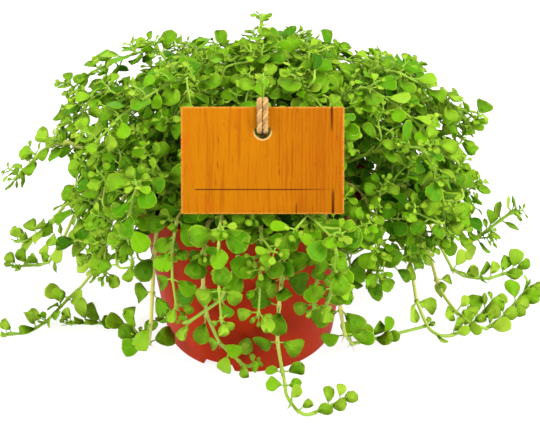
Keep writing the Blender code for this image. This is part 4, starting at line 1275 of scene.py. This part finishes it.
twine_growth = Growth()
loop = loop_points()
loop_route = smooth_line(loop + [loop[0]], 0.00042)
lay_plies(twine_growth, loop_route, twine_radius, (0.0, 0.4, 1.0))
knot_turns = np.linspace(0, math.tau, 90)
knot_small = knot_radius - twine_radius * 0.9
knot_local = np.column_stack((
    (np.sin(knot_turns) + 2 * np.sin(2 * knot_turns)) / 3 * knot_small,
    -np.sin(3 * knot_turns) / 2 * knot_small + half_thickness + twine_gap + knot_radius,
    (np.cos(knot_turns) - 2 * np.cos(2 * knot_turns)) / 3 * knot_small + hole_height))
turned_board = np.array(board_place)
knot_route = knot_local @ turned_board[:3, :3].T + turned_board[:3, 3]
lay_plies(twine_growth, knot_route, twine_radius * 0.85, (0.4, 0.5, 0.6))

jute = Finish("jute", {"Specular IOR Level": 0.1, "Sheen Weight": 0.20, "Sheen Roughness": 0.6})
jute_brown = (0.21, 0.090, 0.010)
jute_straw = (0.66, 0.40, 0.13)
jute_fibres = jute.clouds(jute.place.scaled((1.0, 1.0, 0.35)), 5200.0, 3.0, 0.65)
jute.wear({
    "Base Color": (jute_fibres.step(0.38, 0.62) * 0.6 + jute.own("tone") * 0.5).mix(jute_brown, jute_straw),
    "Roughness": 0.78 + 0.18 * jute_fibres,
    "Normal": jute.relief(jute_fibres, 0.0004),
})
twine = twine_growth.finish("jute_twine", (jute.material,))
hand_over(twine, "twine", "twine")


# Floor, camera and lights
# A plain white studio table, seen a little from above. One soft box lights the plant from the front
# right, and three weaker ones fill its sides and its back.
bpy.ops.object.select_all(action="DESELECT")
bpy.ops.mesh.primitive_plane_add(size=8, location=(0, 0, 0))
floor = bpy.context.object
floor.name = "studio_floor"
paper = Finish("floor_paper", {"Roughness": 0.9, "Specular IOR Level": 0.1,
                               "Emission Color": (1.0, 1.0, 1.0), "Emission Strength": 0.80})
paper.wear({"Base Color": paper.clouds(paper.place, 30.0).mix((0.29, 0.29, 0.29), (0.31, 0.31, 0.31))})
floor.data.materials.append(paper.material)

camera_data = bpy.data.cameras.new("camera")
camera_pitch = 31.86
camera_data.lens = 70.04
camera_data.sensor_width = 36.0
camera = bpy.data.objects.new("camera", camera_data)
camera.location = (0.0109, -0.4601, 0.3531)
camera.rotation_euler = (math.radians(90 - camera_pitch), 0, 0)
bpy.context.scene.collection.objects.link(camera)
bpy.context.scene.camera = camera


plant_middle = Vector((0, 0, 0.09))


def soft_box(name, place, size, power, colour=(1.0, 1.0, 1.0)):
    """An area light that faces the plant."""
    data = bpy.data.lights.new(name, "AREA")
    data.shape = "SQUARE"
    data.size = size
    data.energy = power
    data.color = colour
    lamp = bpy.data.objects.new(name, data)
    lamp.location = place
    lamp.rotation_euler = (plant_middle - Vector(place)).to_track_quat("-Z", "Y").to_euler()
    bpy.context.scene.collection.objects.link(lamp)


soft_box("key_light", (0.75, -0.50, 1.05), 0.7, 18.5, (1.0, 0.98, 0.94))
soft_box("right_fill", (0.95, -0.20, 0.40), 0.6, 4.0, (1.0, 0.99, 0.96))
soft_box("left_fill", (-0.95, -0.35, 0.60), 0.8, 12.5, (1.0, 0.99, 0.96))
soft_box("back_light", (-0.20, 0.90, 0.90), 0.7, 6.0)
world = bpy.data.worlds.new("studio")
world.use_nodes = True
sky = world.node_tree.nodes["Background"].inputs
sky["Color"].default_value = (1.0, 1.0, 1.0, 1.0)
sky["Strength"].default_value = 0.74
bpy.context.scene.world = world
bpy.context.scene.view_settings.view_transform = "Standard"
